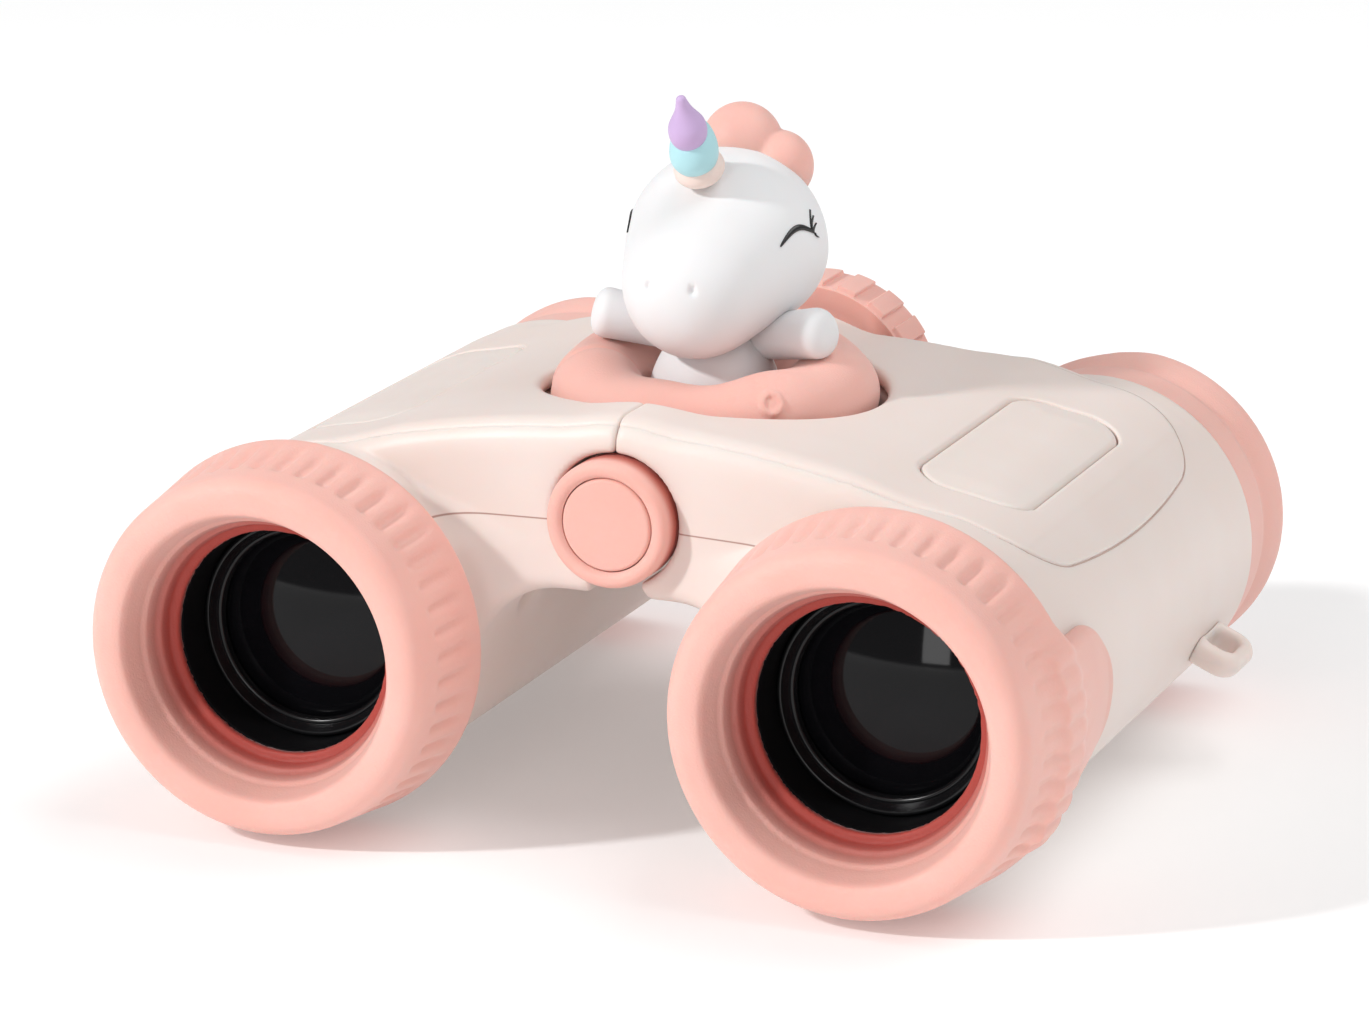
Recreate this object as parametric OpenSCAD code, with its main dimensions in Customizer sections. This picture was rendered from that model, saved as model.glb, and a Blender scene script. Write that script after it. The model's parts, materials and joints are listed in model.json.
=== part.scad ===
// Folding toy binoculars: two hinged halves with their optics, a focus train, and a unicorn in a swim ring.
// Sizes are in millimetres. Every piece is drawn in the optical frame, with the mouths of the objective
// rings at y = 0, the optical axes at z = 0 and the eyecups towards +Y. stand() then sets it on the floor.

/* [Barrels] */
// Half the spacing of the two optical axes
axis_half = 35; // [34:0.5:38]
// Outer radius of a barrel
barrel_r = 19.4; // [19:0.1:20.4]
// How far a barrel reaches behind the hub at the rear of the bridge
barrel_tail = 6; // [5:0.2:8]
// Wall of the barrels, of the bridge's floor and of its ends
wall = 1.8; // [1.5:0.1:2.2]

/* [Bridge and hinge] */
// Height of the hinge axis above the optical axes
hinge_h = 14.7; // [14.4:0.1:15.4]
// How far the bridge's front face lies behind the objective rings
bridge_setback = 6.4; // [5.6:0.2:8]
// Length of the bridge along the barrels
bridge_len = 59; // [57:0.5:61]
// How far the bridge's rear face slants to the rear, from the hub to the barrel
rear_slant = 4; // [3:0.2:4.4]
// How far the crown's front rises over the top of the barrels
top_rise = 5.9; // [5.6:0.1:7]
// Radius of the crown across the width
top_r = 118; // [112:1:128]
// Slope of the crown down to the rear, in degrees
top_fall = 1.5; // [1.2:0.1:1.9]
// Thickness of the roof under the crown
roof_t = 2.2; // [1.8:0.1:2.4]
// Height of the bridge's underside above the optical axes
floor_h = 5.5; // [4.8:0.1:5.6]
// Radius of the rounded hub over the hinge
hub_r = 11; // [10.6:0.1:11.6]
// Radius of the hollow between the bridge's front face and the barrel
bridge_fillet_r = 8; // [6:0.5:9]
// Fold of each half, in degrees
fold_deg = 20; // [12:1:20]
// Radius of the hinge pin
pin_r = 2; // [1.8:0.1:2.2]
// Radius of the bored journal at the rear of the hinge
journal_r = 4; // [3.6:0.1:4.2]
// Radius of a hinge knuckle
knuckle_r = 5.5; // [5.3:0.1:6]
// Length of a hinge knuckle
knuckle_len = 4; // [3.6:0.1:4.2]
// Radius of the hinge cap
cap_r = 7.3; // [7.1:0.1:7.5]
// How far the hinge cap stands out of the bridge's front face
cap_proud = 2.7; // [2.4:0.1:3.2]
// Radius of the disc in the hinge cap
cap_disc_r = 5.3; // [4.8:0.1:5.5]

/* [Covers] */
// How far a cover stands proud of its barrel
cover_raise = 0.3; // [0.2:0.05:0.5]
// Height of the seam at the hinge, above the optical axes
seam_in_h = 14.1; // [13.9:0.1:14.3]
// Height of the seam on the outer flank
seam_out_h = 12.5; // [12:0.1:13]
// Width of the seam between a cover and its lower shell
seam_gap = 0.2; // [0.15:0.05:0.3]
// Width of the rear strip between a cover and the rear face of the bridge
rear_strip = 1.7; // [1.4:0.1:2]
// Radius of a cover's outer corners
cover_corner_r = 7; // [5:0.5:9]
// How far a grip pad's inner edge lies inside the optical axis
pad_inset = 4; // [3:0.5:5]
// Width of a grip pad
pad_w = 13; // [11:0.5:14]
// Length of a grip pad
pad_len = 36; // [32:0.5:40]
// Front edge of a grip pad behind the bridge's front face
pad_setback = 10; // [8:0.5:12]
// Corner radius of a grip pad
pad_corner_r = 4.5; // [3:0.5:5.5]
// Depth of a grip pad in its cover
pad_depth = 0.9; // [0.7:0.1:1]
// Width of the groove round a grip pad
pad_groove = 0.3; // [0.2:0.05:0.5]

/* [Objective rings] */
// Length of a ring from its mouth to its back edge
ring_len = 13.6; // [13.2:0.2:15]
// How far a ring's back edge stands out of the barrel
ring_flare = 2.7; // [2.2:0.1:3.4]
// How far a ring stands out of the barrel behind its lip
ring_front_flare = 1.3; // [0.9:0.1:1.8]
// Step from the barrel's radius to the ring's mouth
mouth_step = 3.1; // [2.6:0.1:3.5]
// How far the round lip stands in front of the mouth
lip_proud = 0.6; // [0.4:0.1:1]
// Step from the mouth to the seat for a lens cap
seat_step = 1.1; // [0.8:0.1:1.4]
// Length of the seat for a lens cap
seat_len = 2; // [1.6:0.1:2.4]
// Step from the seat to the throat, where the black tube starts
throat_step = 2.3; // [2.1:0.1:2.6]
// Depth of the throat behind the mouth
throat_depth = 7.7; // [7.3:0.1:8.2]
// Reach of the tongue on the outer flank behind the ring
tongue_len = 17.5; // [14:0.5:20]
// Half the height of the tongue
tongue_half = 10; // [8:0.5:11]
// Thickness of the tongue
tongue_t = 1.5; // [1.2:0.1:1.8]

/* [Optics] */
// Wall of an objective tube
tube_wall = 1.5; // [1.2:0.1:1.7]
// Radius of curvature of an objective lens
lens_curve_r = 30; // [26:1:40]
// Width of a lens retainer
retainer_w = 2.6; // [2:0.1:3.2]
// Width of a focus cell round its lens
cell_rim = 9; // [8:0.1:10]
// Thickness of a focus cell
cell_t = 5; // [4:0.2:6]
// Length of a prism cage
cage_len = 14; // [13:0.5:15]
// Width of a prism cage's rim at the corners of its prism
cage_rim = 4.9; // [4.2:0.1:5.6]
// Step from the barrel's bore to the outside of the eyepiece tube
eyepiece_step = 3.6; // [3.2:0.1:4]
// How far an eyepiece tube reaches behind its barrel
eyepiece_proud = 6.5; // [5.8:0.1:7]
// Width of an eyepiece tube's wall round the eye lens
eye_rim = 3; // [2.6:0.1:3.6]
// Thickness of an eye lens
eye_lens_t = 3.6; // [3:0.1:4.2]

/* [Eyecups] */
// Step from the barrel to the eyecup
cup_step = 0.3; // [0.1:0.1:0.8]
// Length of an eyecup on the nose side
cup_len = 11.5; // [11:0.1:13]
// Depth of the waist round an eyecup
cup_waist = 0.8; // [0.4:0.1:1.2]
// Width of an eyecup's wall round its hollow
cup_wall = 4.6; // [4:0.1:5.2]
// Step from the hollow of an eyecup to its window
window_step = 4.1; // [3.6:0.1:4.6]
// How far the shield on the temple side reaches behind the eyecup
shield_len = 2.4; // [1.8:0.1:3]
// How far the shield stands out of the eyecup
shield_flare = 0.1; // [0:0.1:0.5]

/* [Focus train] */
// Radius of the focus wheel over its ridges
wheel_r = 14; // [13:0.1:15]
// Width of the focus wheel
wheel_w = 8.2; // [7:0.1:9]
// Height of the wheel's ridges
ridge_h = 1; // [0.6:0.1:1.4]
// Number of ridges on the wheel
ridge_count = 20; // [16:1:24]
// Radius of the focus screw
screw_r = 1.5; // [1.4:0.1:1.6]
// Travel of the focus carriage to each side
focus_travel = 3; // [2:0.2:3.4]
// Radius of the carriage's flanges
flange_r = 5.2; // [5:0.1:5.4]
// Thickness of a carriage flange
flange_t = 2; // [1.6:0.1:2.4]
// Thickness of a focus cell's arm in the carriage's groove
arm_t = 2.8; // [2.4:0.1:3.2]
// Height of a focus cell's arm
arm_h = 3; // [2.6:0.1:3.2]

/* [Strap loops] */
// Width of a strap loop along the barrel
loop_w = 10; // [9:0.2:12]
// How far a strap loop stands out of the barrel
loop_proud = 5.6; // [5.2:0.2:6.6]
// Thickness of a strap loop
loop_t = 3.4; // [2.8:0.1:4]
// Width of the strap slot along the barrel
slot_w = 4.6; // [4:0.1:5]
// Height of the strap slot
slot_h = 2.6; // [2.2:0.1:2.7]
// Angle of a strap loop below the horizontal, in degrees
loop_angle = 24; // [20:1:30]
// Distance of a strap loop from the rear end of its barrel
loop_from_rear = 13.5; // [11:0.5:16]

/* [Swim ring and figure] */
// How far the swim ring's centre lies in front of the bridge's middle
float_forward = 0.3; // [-0.4:0.1:1]
// Radius of the swim ring's centre line
float_r = 13.6; // [13.3:0.1:13.9]
// Radius of the swim ring's tube
float_tube_r = 5.5; // [5.2:0.1:5.7]
// Height of the swim ring's centre above the optical axes
float_h = 22.7; // [22.4:0.1:23.2]
// Gap between the swim ring and the recess in the covers
recess_gap = 0.8; // [0.6:0.1:1.2]
// Radius of the figure's torso
torso_r = 7.3; // [6.6:0.1:7.5]
// Height of the figure's torso
torso_len = 9.2; // [8.6:0.1:9.8]
// Radius of the head
head_r = 11.7; // [11.2:0.1:12]
// How far the middle of the head lies behind the middle of the swim ring
head_back = 3.4; // [2.8:0.1:4]
// Radius of the muzzle
muzzle_r = 8.5; // [7.6:0.1:9]
// Reach of the muzzle in front of the middle of the head
muzzle_reach = 9; // [8.4:0.2:9.6]
// Radius of a foreleg at its hoof
hoof_r = 2.9; // [2.6:0.1:3.1]
// Radius of the horn's base ring
horn_r = 3.1; // [2.8:0.1:3.3]
// Lean of the horn to the front, in degrees
horn_lean = 30; // [24:1:34]
// Radius of the mane's top lock
mane_r = 5; // [4.4:0.1:5.4]

/* [Hidden] */
$fn = 96;
hull_fn = 40;
// Clearances: press seats, running fits, free gaps round moving pieces, ends of slides, overrun of cuts
fit_gap = 0.05;
run_gap = 0.06;
side_gap = 0.3;
stop_gap = 1;
over = 1;

// Stations along the barrels
barrel_y0 = ring_len + fit_gap;
bore_r = barrel_r - wall;
bridge_y0 = ring_len + bridge_setback;
bridge_y1 = bridge_y0 + bridge_len;
barrel_y1 = bridge_y1 + barrel_tail;
channel_r = cap_r + side_gap;
channel_y1 = bridge_y1 - wall;

// Stations along the hinge: cap, two front knuckles, front post, carriage, rear post and two rear knuckles
cap_y0 = bridge_y0 - cap_proud;
cap_y1 = bridge_y0 + wall - fit_gap;
knuckle_step = knuckle_len + side_gap;
front_knuckle_y = cap_y1 + side_gap;
post_len = knuckle_len;
front_post_y = front_knuckle_y + 2 * knuckle_step;
rear_knuckle_y = channel_y1 - 2 * knuckle_step;
rear_post_y = rear_knuckle_y - knuckle_step;
groove_w = arm_t + 2 * side_gap;
carriage_len = 2 * flange_t + groove_w;
carriage_y = front_post_y + post_len + stop_gap + focus_travel + carriage_len / 2;
groove_r = screw_r + wall;

// The halves: the sector that each may fill, and the seam of its cover
fold_spare_deg = 1.6;
open_deg = fold_deg + fold_spare_deg;
half_w = 2 * axis_half;
half_h = 2 * axis_half;
top_h = barrel_r + top_rise;
seam_slope = (seam_in_h - seam_out_h) / (axis_half + bore_r);
slant_x0 = hub_r - wall;
slant_x1 = axis_half - bridge_fillet_r;
slant_y1 = bridge_y1 + rear_slant;
cover_y1 = slant_y1 - rear_strip;
cover_out = axis_half + sqrt(pow(barrel_r + cover_raise, 2) - pow(seam_out_h, 2)) + seam_gap;
crown_w = axis_half + wall;
web_w = knuckle_r + 2 * wall;

// Case screws
boss_r = 2.8;
case_screw_r = 1.2;
case_head_r = 2.2;
case_head_t = 1.4;
boss_x = channel_r + wall + boss_r + side_gap;
boss_ys = [bridge_y0 + wall + 2 * boss_r, bridge_y1 - wall - 2 * boss_r];
case_screw_top = top_h - roof_t - 2 * wall;

// Objective ring, tube and lens
ring_back_r = barrel_r + ring_flare;
ring_front_r = barrel_r + ring_front_flare;
mouth_r = barrel_r - mouth_step;
seat_r = mouth_r - seat_step;
throat_r = seat_r - throat_step;
retainer_in_r = throat_r - retainer_w;
lip_r = (ring_front_r - mouth_r) / 2;
lip_y = lip_r - lip_proud;
seat_y = lip_y + (mouth_r - seat_r);
step_r = (seat_r + throat_r) / 2;
spigot_r = bore_r;
spigot_y0 = throat_depth + tube_wall;
tube_r = throat_r + tube_wall;
tongue_drop = wall;
tube_y1 = carriage_y - focus_travel - cell_t / 2 - stop_gap;
lens_r = throat_r - fit_gap;
lens_edge_t = wall;
lens_apex_y = throat_depth + 3 * wall;
lens_edge_y = lens_apex_y + lens_curve_r - sqrt(pow(lens_curve_r, 2) - pow(lens_r, 2));
lens_back_y = lens_edge_y + lens_edge_t;
retainer_touch = lens_apex_y + lens_curve_r - sqrt(pow(lens_curve_r, 2) - pow(retainer_in_r, 2));
retainer_t = 2.2;
shoulder_r = lens_r - wall;

// Focus cells, prisms and eyepieces
cell_r = bore_r - side_gap;
focus_lens_r = bore_r - cell_rim;
prism_side = sqrt(2) * (bore_r - cage_rim);
eyepiece_r = bore_r - eyepiece_step;
eye_lens_r = eyepiece_r - eye_rim;
arm_z0 = hinge_h - arm_h - wall;
fork_in_r = groove_r + side_gap;
fork_r = fork_in_r + wall;
claw_deg = 88;
cage_y0 = carriage_y + focus_travel + cell_t / 2 + stop_gap;
cage_y1 = cage_y0 + cage_len;
cage_r = bore_r - fit_gap;
flange_y1 = barrel_y1 - wall - fit_gap;
tube_in_r = eye_lens_r + fit_gap;
eyepiece_y0 = cage_y1 + stop_gap;
eyepiece_y1 = barrel_y1 + eyepiece_proud;
eye_lens_y0 = eyepiece_y1 - eye_lens_t - fit_gap;

// Eyecups
cup_r = barrel_r - cup_step;
cup_waist_r = cup_r - cup_waist;
cup_hollow_r = cup_r - cup_wall;
cup_window_r = cup_hollow_r - window_step;
shield_r = cup_r + shield_flare;
cup_y0 = barrel_y1 + fit_gap;
cup_y1 = cup_y0 + cup_len;
cup_lip_y = eyepiece_y1 + fit_gap;
cup_lip_t = 1;
cup_waist_y = cup_y0 + cup_len / 2;
shield_y1 = cup_y1 + shield_len;
shield_from_x = cup_r / 3;
shield_slope = shield_len / (cup_r + shield_from_x);

// Focus wheel and screw
washer_t = 0.4;
wheel_y0 = bridge_y1 + washer_t + fit_gap;
wheel_y1 = wheel_y0 + wheel_w;
screw_y0 = carriage_y - focus_travel - carriage_len / 2 + stop_gap;
screw_head_r = 3.2;
screw_head_t = 1.2;
ridge_fill_share = 0.62;
ridge_w = 2 * PI * wheel_r / ridge_count * ridge_fill_share;

// Centre bracket, swim ring and figure
float_y = (bridge_y0 + bridge_y1) / 2 - float_forward;
float_out_r = float_r + float_tube_r;
recess_r = float_out_r + recess_gap;
plate_z0 = hinge_h + groove_r - wall / 2 + 2 * side_gap;
plate_t = wall;
plate_z1 = plate_z0 + plate_t;
plate_r = float_out_r - 2 * side_gap;
post_r = plate_z1 - hinge_h - fit_gap;
figure_screw_r = 0.9;
figure_head_r = 1.7;
figure_screw_len = 5;
figure_screw_x = torso_r / 2 + figure_screw_r;
neck_r = torso_r - wall;
neck_z = plate_z1 + torso_len;
head_y = float_y + head_back;
head_z = neck_z + head_r - wall;
muzzle_y = head_y - muzzle_reach;
muzzle_z = head_z - head_r / 5;
hoof_z = float_h + float_tube_r + hoof_r + fit_gap;
hoof_x = float_r - hoof_r / 3;
horn_parts = [2.6, 4.6, 7.1];
horn_shares = [1, 0.92, 0.72];
horn_sink = 1.3;
horn_polar_deg = 40;
mane_shares = [[0, 0.42, 1.06, 1], [0.42, 0.62, 0.92, 0.74], [-0.42, 0.62, 0.92, 0.74], [0, 0.98, 0.62, 0.86],
    [0, 1.08, 0.16, 0.72]];
eye_deg = 66;
eye_up = 1.8;
eye_r = 2.6;
eye_t = 0.55;
eye_lift = 0.25;

// Place on the floor: middle of the length at y = 0, lowest point of the rings at z = 0
axis_z = ring_back_r;
mid_y = (shield_y1 - lip_proud) / 2;

// Helpers

// Moves the optical frame to the floor.
module stand() {
    translate([0, -mid_y, axis_z]) children();
}

// Draws a piece of the right half, or its mirror image for the left half.
module half(side) {
    stand() mirror([side < 0 ? 1 : 0, 0, 0]) children();
}

// A cylinder along +Y about the current origin.
module rod(r, y0, y1) {
    translate([0, y0, 0]) rotate([-90, 0, 0]) cylinder(r = r, h = y1 - y0);
}

// Turns an outline of [radius, y] points about the Y axis through the current origin.
module turned() {
    rotate([-90, 0, 0]) rotate_extrude() children();
}

// Extrudes an outline of [x, z] points along Y.
module slab(y0, y1) {
    translate([0, y1, 0]) rotate([90, 0, 0]) linear_extrude(y1 - y0) children();
}

module on_barrel() {
    translate([axis_half, 0, 0]) children();
}

module on_hinge() {
    translate([0, 0, hinge_h]) children();
}

module rounded_plan(x0, x1, y0, y1, r) {
    translate([x0, y0 + r]) square([x1 - x0, y1 - y0 - 2 * r]);
    translate([x0 + r, y0]) square([x1 - x0 - 2 * r, y1 - y0]);
    for (x = [x0 + r, x1 - r], y = [y0 + r, y1 - r]) translate([x, y]) circle(r = r);
}

function seam_z(x) = seam_in_h - seam_slope * x;

// Body of one half

// The barrel of the right half.
module barrel_solid(grow) {
    on_barrel() rod(barrel_r + grow, barrel_y0, barrel_y1);
}

// The crown over both halves, a wide cylinder that falls to the rear.
module crown(grow) {
    translate([0, bridge_y0, top_h - top_r])
        rotate([-top_fall, 0, 0]) rod(top_r + grow, -bridge_len, 2 * bridge_len);
}

// All that lies in front of the bridge's slanting rear face, shifted to the rear.
module rear_plan(shift) {
    linear_extrude(half_h) translate([0, shift]) polygon([
        [-half_w, -half_w],
        [2 * half_w, -half_w],
        [2 * half_w, slant_y1],
        [slant_x1, slant_y1],
        [slant_x0, bridge_y1],
        [-half_w, bridge_y1]]);
}

// The bridge between the hinge and the barrel, under the crown, with a pocket for the focus wheel.
module bridge_solid(grow) {
    difference() {
        intersection() {
            crown(grow);
            translate([0, bridge_y0, floor_h]) cube([crown_w, bridge_len + rear_slant, top_h]);
            rear_plan(0);
        }
        on_hinge() rod(wheel_r + 2 * side_gap, bridge_y1, barrel_y1);
    }
    intersection() {
        on_hinge() rod(hub_r + grow, bridge_y0, bridge_y1);
        translate([0, bridge_y0, floor_h]) cube([crown_w, bridge_len, half_h]);
    }
}

// The hollow corner between the bridge's front face and the barrel, below the seam.
module bridge_fillet() {
    corner_x = axis_half - sqrt(pow(barrel_r, 2) - pow(seam_in_h, 2)) + wall;
    translate([0, 0, floor_h]) linear_extrude(seam_out_h - floor_h) difference() {
        translate([corner_x - bridge_fillet_r, barrel_y0])
            square([bridge_fillet_r, bridge_y0 + wall - barrel_y0]);
        translate([corner_x - bridge_fillet_r, bridge_y0 - bridge_fillet_r]) circle(r = bridge_fillet_r);
    }
}

// What the right half may fill: right of the centre plane above the hinge, and clear of the fold below it.
module right_sector() {
    slab(-half_w, 2 * half_w) polygon([
        [seam_gap / 2, hinge_h],
        [seam_gap / 2 + half_h * tan(open_deg), hinge_h - half_h],
        [half_w, hinge_h - half_h],
        [half_w, half_h],
        [seam_gap / 2, half_h]]);
}

// The space of a cover, grown by a gap.
module cover_region(gap) {
    intersection() {
        slab(bridge_y0 - gap, barrel_y1)
            polygon([[0, seam_z(0) - gap], [half_w, seam_z(half_w) - gap], [half_w, half_h], [0, half_h]]);
        linear_extrude(half_h)
            rounded_plan(-half_w, cover_out + gap, bridge_y0 - gap, cover_y1 + gap, cover_corner_r + gap);
        rear_plan(gap - rear_strip);
    }
}

// The hollows of a half: the barrel's bore, the hinge channel and the space between them.
module half_hollows() {
    on_barrel() rod(bore_r, barrel_y0 + wall, barrel_y1 - wall);
    on_hinge() rod(channel_r, bridge_y0 - over, channel_y1);
    difference() {
        intersection() {
            crown(-roof_t);
            translate([0, bridge_y0 + wall, floor_h + wall]) cube([axis_half, bridge_len, top_h]);
            rear_plan(-rear_strip - wall);
        }
        barrel_solid(0);
    }
    // Window for the focus cell's arm through the barrel's inner wall
    translate([channel_r, carriage_y - focus_travel - arm_t / 2 - side_gap, arm_z0 - side_gap])
        cube([axis_half - channel_r - wall, 2 * focus_travel + arm_t + 2 * side_gap, arm_h + wall]);
}

module case_boss_bores(r) {
    for (y = boss_ys) translate([boss_x, y, floor_h - over])
        cylinder(r = r, h = case_screw_top - floor_h + over);
}

// A hinge knuckle with the web that carries it, from its front end y.
module knuckle(y) {
    drop = hinge_h - floor_h;
    on_hinge() rod(knuckle_r, y, y + knuckle_len);
    slab(y, y + knuckle_len) polygon([
        [seam_gap / 2, hinge_h],
        [seam_gap / 2 + drop * tan(open_deg), floor_h],
        [web_w, floor_h],
        [web_w, seam_z(web_w) - seam_gap]]);
}

// Lower shell of the right half, with its knuckles starting at front_y and rear_y.
module lower_shell(front_y, rear_y) {
    difference() {
        union() {
            difference() {
                intersection() {
                    union() {
                        barrel_solid(0);
                        bridge_solid(0);
                        bridge_fillet();
                    }
                    right_sector();
                }
                half_hollows();
                cover_region(seam_gap);
            }
            on_barrel() rod(spigot_r, spigot_y0, barrel_y0 + wall);
            difference() {
                for (y = boss_ys)
                    translate([boss_x, y, floor_h]) cylinder(r = boss_r, h = seam_in_h - floor_h);
                cover_region(seam_gap);
            }
            knuckle(front_y);
            knuckle(rear_y);
        }
        on_barrel() rod(tube_r + fit_gap, 0, barrel_y0 + wall + over);
        on_barrel() rod(eyepiece_r + fit_gap, barrel_y1 - wall - over, barrel_y1 + over);
        on_hinge() rod(pin_r + run_gap, 0, front_post_y);
        on_hinge() rod(journal_r + run_gap, rear_post_y, rear_knuckle_y + 2 * knuckle_step);
        on_hinge() rod(journal_r + side_gap, channel_y1 - over, bridge_y1 + over);
        case_boss_bores(case_screw_r + fit_gap);
        for (y = boss_ys) translate([boss_x, y, floor_h - over])
            cylinder(r = case_head_r + fit_gap, h = case_head_t + over);
    }
}

module pad_plan(gap) {
    pad_in = axis_half - pad_inset;
    pad_y0 = bridge_y0 + pad_setback - gap;
    pad_y1 = bridge_y0 + pad_setback + pad_len + gap;
    linear_extrude(half_h)
        rounded_plan(pad_in - gap, pad_in + pad_w + gap, pad_y0, pad_y1, pad_corner_r + gap);
}

// The skin that a cover and its grip pad share, sunk by a depth.
module cover_skin(grow) {
    barrel_solid(cover_raise + grow);
    bridge_solid(grow);
}

// Cover of the right half.
module cover() {
    difference() {
        union() {
            difference() {
                intersection() {
                    cover_skin(0);
                    right_sector();
                    cover_region(0);
                }
                half_hollows();
            }
            intersection() {
                for (y = boss_ys)
                    translate([boss_x, y, seam_out_h]) cylinder(r = boss_r, h = top_h - seam_out_h);
                crown(-roof_t / 2);
                cover_region(seam_gap);
            }
        }
        translate([0, float_y, 0]) cylinder(r = recess_r, h = half_h);
        on_hinge() rod(channel_r, bridge_y0 - over, bridge_y1 + over);
        case_boss_bores(case_screw_r + fit_gap);
        difference() {
            pad_plan(pad_groove);
            cover_skin(-pad_depth);
        }
    }
}

module grip_pad() {
    difference() {
        intersection() {
            pad_plan(0);
            cover_skin(0);
        }
        cover_skin(fit_gap - pad_depth);
    }
}

module case_screws() {
    for (y = boss_ys) translate([boss_x, y, floor_h]) {
        cylinder(r = case_head_r, h = case_head_t);
        cylinder(r = case_screw_r, h = case_screw_top - floor_h - fit_gap);
    }
}

// Objective end

module objective_ring() {
    on_barrel() turned() {
        translate([mouth_r + lip_r, lip_y]) circle(r = lip_r);
        polygon([
            [mouth_r, lip_y],
            [ring_front_r, lip_y],
            [ring_back_r, ring_len],
            [spigot_r + fit_gap, ring_len],
            [spigot_r + fit_gap, spigot_y0 - fit_gap],
            [tube_r + fit_gap, spigot_y0 - fit_gap],
            [tube_r + fit_gap, throat_depth],
            [throat_r, throat_depth],
            [throat_r, seat_y + 2 * seat_len],
            [step_r, seat_y + 2 * seat_len],
            [step_r, seat_y + seat_len],
            [seat_r, seat_y + seat_len],
            [seat_r, seat_y]]);
    }
    // Tongue on the outer flank
    intersection() {
        on_barrel() difference() {
            rod(barrel_r + fit_gap + tongue_t, ring_len - wall, ring_len + tongue_len);
            rod(barrel_r + fit_gap, 0, barrel_y1);
        }
        translate([axis_half, 0, -tongue_drop]) rotate([90, 0, 90]) linear_extrude(half_w) {
            translate([ring_len + tongue_len - tongue_half, 0]) circle(r = tongue_half);
            translate([0, -tongue_half]) square([ring_len + tongue_len - tongue_half, 2 * tongue_half]);
        }
    }
}

module objective_tube() {
    tube_y0 = throat_depth + fit_gap;
    shoulder_y = lens_back_y + fit_gap;
    on_barrel() turned() polygon([
        [throat_r, tube_y0],
        [tube_r, tube_y0],
        [tube_r, tube_y1],
        [throat_r, tube_y1],
        [throat_r, shoulder_y + wall],
        [shoulder_r, shoulder_y + wall],
        [shoulder_r, shoulder_y],
        [throat_r, shoulder_y]]);
}

module objective_lens() {
    on_barrel() intersection() {
        rod(lens_r, lens_apex_y - over, lens_back_y);
        translate([0, lens_apex_y + lens_curve_r, 0]) sphere(r = lens_curve_r);
    }
}

module lens_retainer() {
    retainer_y1 = retainer_touch - fit_gap;
    on_barrel() turned() polygon([
        [retainer_in_r, retainer_y1],
        [lens_r, retainer_y1],
        [lens_r, retainer_y1 - retainer_t],
        [retainer_in_r + wall, retainer_y1 - retainer_t]]);
}

// Focus cells, prisms and eyepieces

module focus_cell() {
    on_barrel() difference() {
        rod(cell_r, carriage_y - cell_t / 2, carriage_y + cell_t / 2);
        rod(focus_lens_r + fit_gap, 0, barrel_y1);
    }
    difference() {
        translate([fork_r - wall / 2, carriage_y - arm_t / 2, arm_z0])
            cube([axis_half - fork_r - focus_lens_r - wall, arm_t, arm_h]);
        on_barrel() rod(cell_r - wall, 0, barrel_y1);
    }
    // Claw that runs in the carriage's groove
    on_hinge() translate([0, carriage_y - arm_t / 2, 0]) rotate([-90, 0, 0]) rotate([0, 0, -fold_deg])
        rotate_extrude(angle = claw_deg) translate([fork_in_r, 0]) square([wall, arm_t]);
}

module focus_lens() {
    lens_t = cell_t - wall;
    on_barrel() difference() {
        rod(focus_lens_r, carriage_y - lens_t / 2, carriage_y + lens_t / 2);
        translate([0, carriage_y - lens_curve_r - lens_t / 4, 0]) sphere(r = lens_curve_r);
    }
}

module prism_cage() {
    on_barrel() difference() {
        rod(cage_r, cage_y0, cage_y1);
        translate([-prism_side / 2, cage_y0 - over, -prism_side / 2])
            cube([prism_side, cage_len + 2 * over, prism_side]);
    }
}

module prism() {
    reach = prism_side / 2 - fit_gap;
    on_barrel() translate([-reach, cage_y0, 0]) rotate([90, 0, 90]) linear_extrude(2 * reach) polygon([
        [0, -reach],
        [cage_len, -reach],
        [cage_len, reach - cage_len / 2],
        [cage_len / 2, reach],
        [0, reach]]);
}

module eyepiece_tube() {
    on_barrel() turned() polygon([
        [tube_in_r - wall, eyepiece_y0],
        [eyepiece_r, eyepiece_y0],
        [eyepiece_r, flange_y1 - wall],
        [cage_r, flange_y1 - wall],
        [cage_r, flange_y1],
        [eyepiece_r, flange_y1],
        [eyepiece_r, eyepiece_y1],
        [tube_in_r, eyepiece_y1],
        [tube_in_r, eye_lens_y0 - fit_gap],
        [tube_in_r - wall, eye_lens_y0 - fit_gap]]);
}

module eye_lens() {
    apex_y = eyepiece_y1 - fit_gap;
    on_barrel() intersection() {
        rod(eye_lens_r, eye_lens_y0, apex_y + over);
        translate([0, apex_y - lens_curve_r, 0]) sphere(r = lens_curve_r);
    }
}

// Eyecup whose rear edge rises to a shield on the temple side.
module eyecup() {
    on_barrel() difference() {
        turned() polygon([
            [eyepiece_r + fit_gap, cup_y0],
            [cup_r, cup_y0],
            [cup_waist_r, cup_waist_y],
            [shield_r, cup_y1],
            [shield_r - wall / 2, shield_y1],
            [shield_r - wall, shield_y1],
            [cup_hollow_r, cup_y1 - cup_lip_t],
            [cup_hollow_r, cup_lip_y + cup_lip_t],
            [cup_window_r, cup_lip_y + cup_lip_t],
            [cup_window_r, cup_lip_y],
            [eyepiece_r + fit_gap, cup_lip_y]]);
        translate([0, 0, -half_h]) linear_extrude(2 * half_h) polygon([
            [-2 * cup_r, cup_y1 - shield_slope * cup_r],
            [shield_from_x, shield_y1],
            [shield_from_x, shield_y1 + over],
            [-2 * cup_r, shield_y1 + over]]);
    }
}

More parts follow.
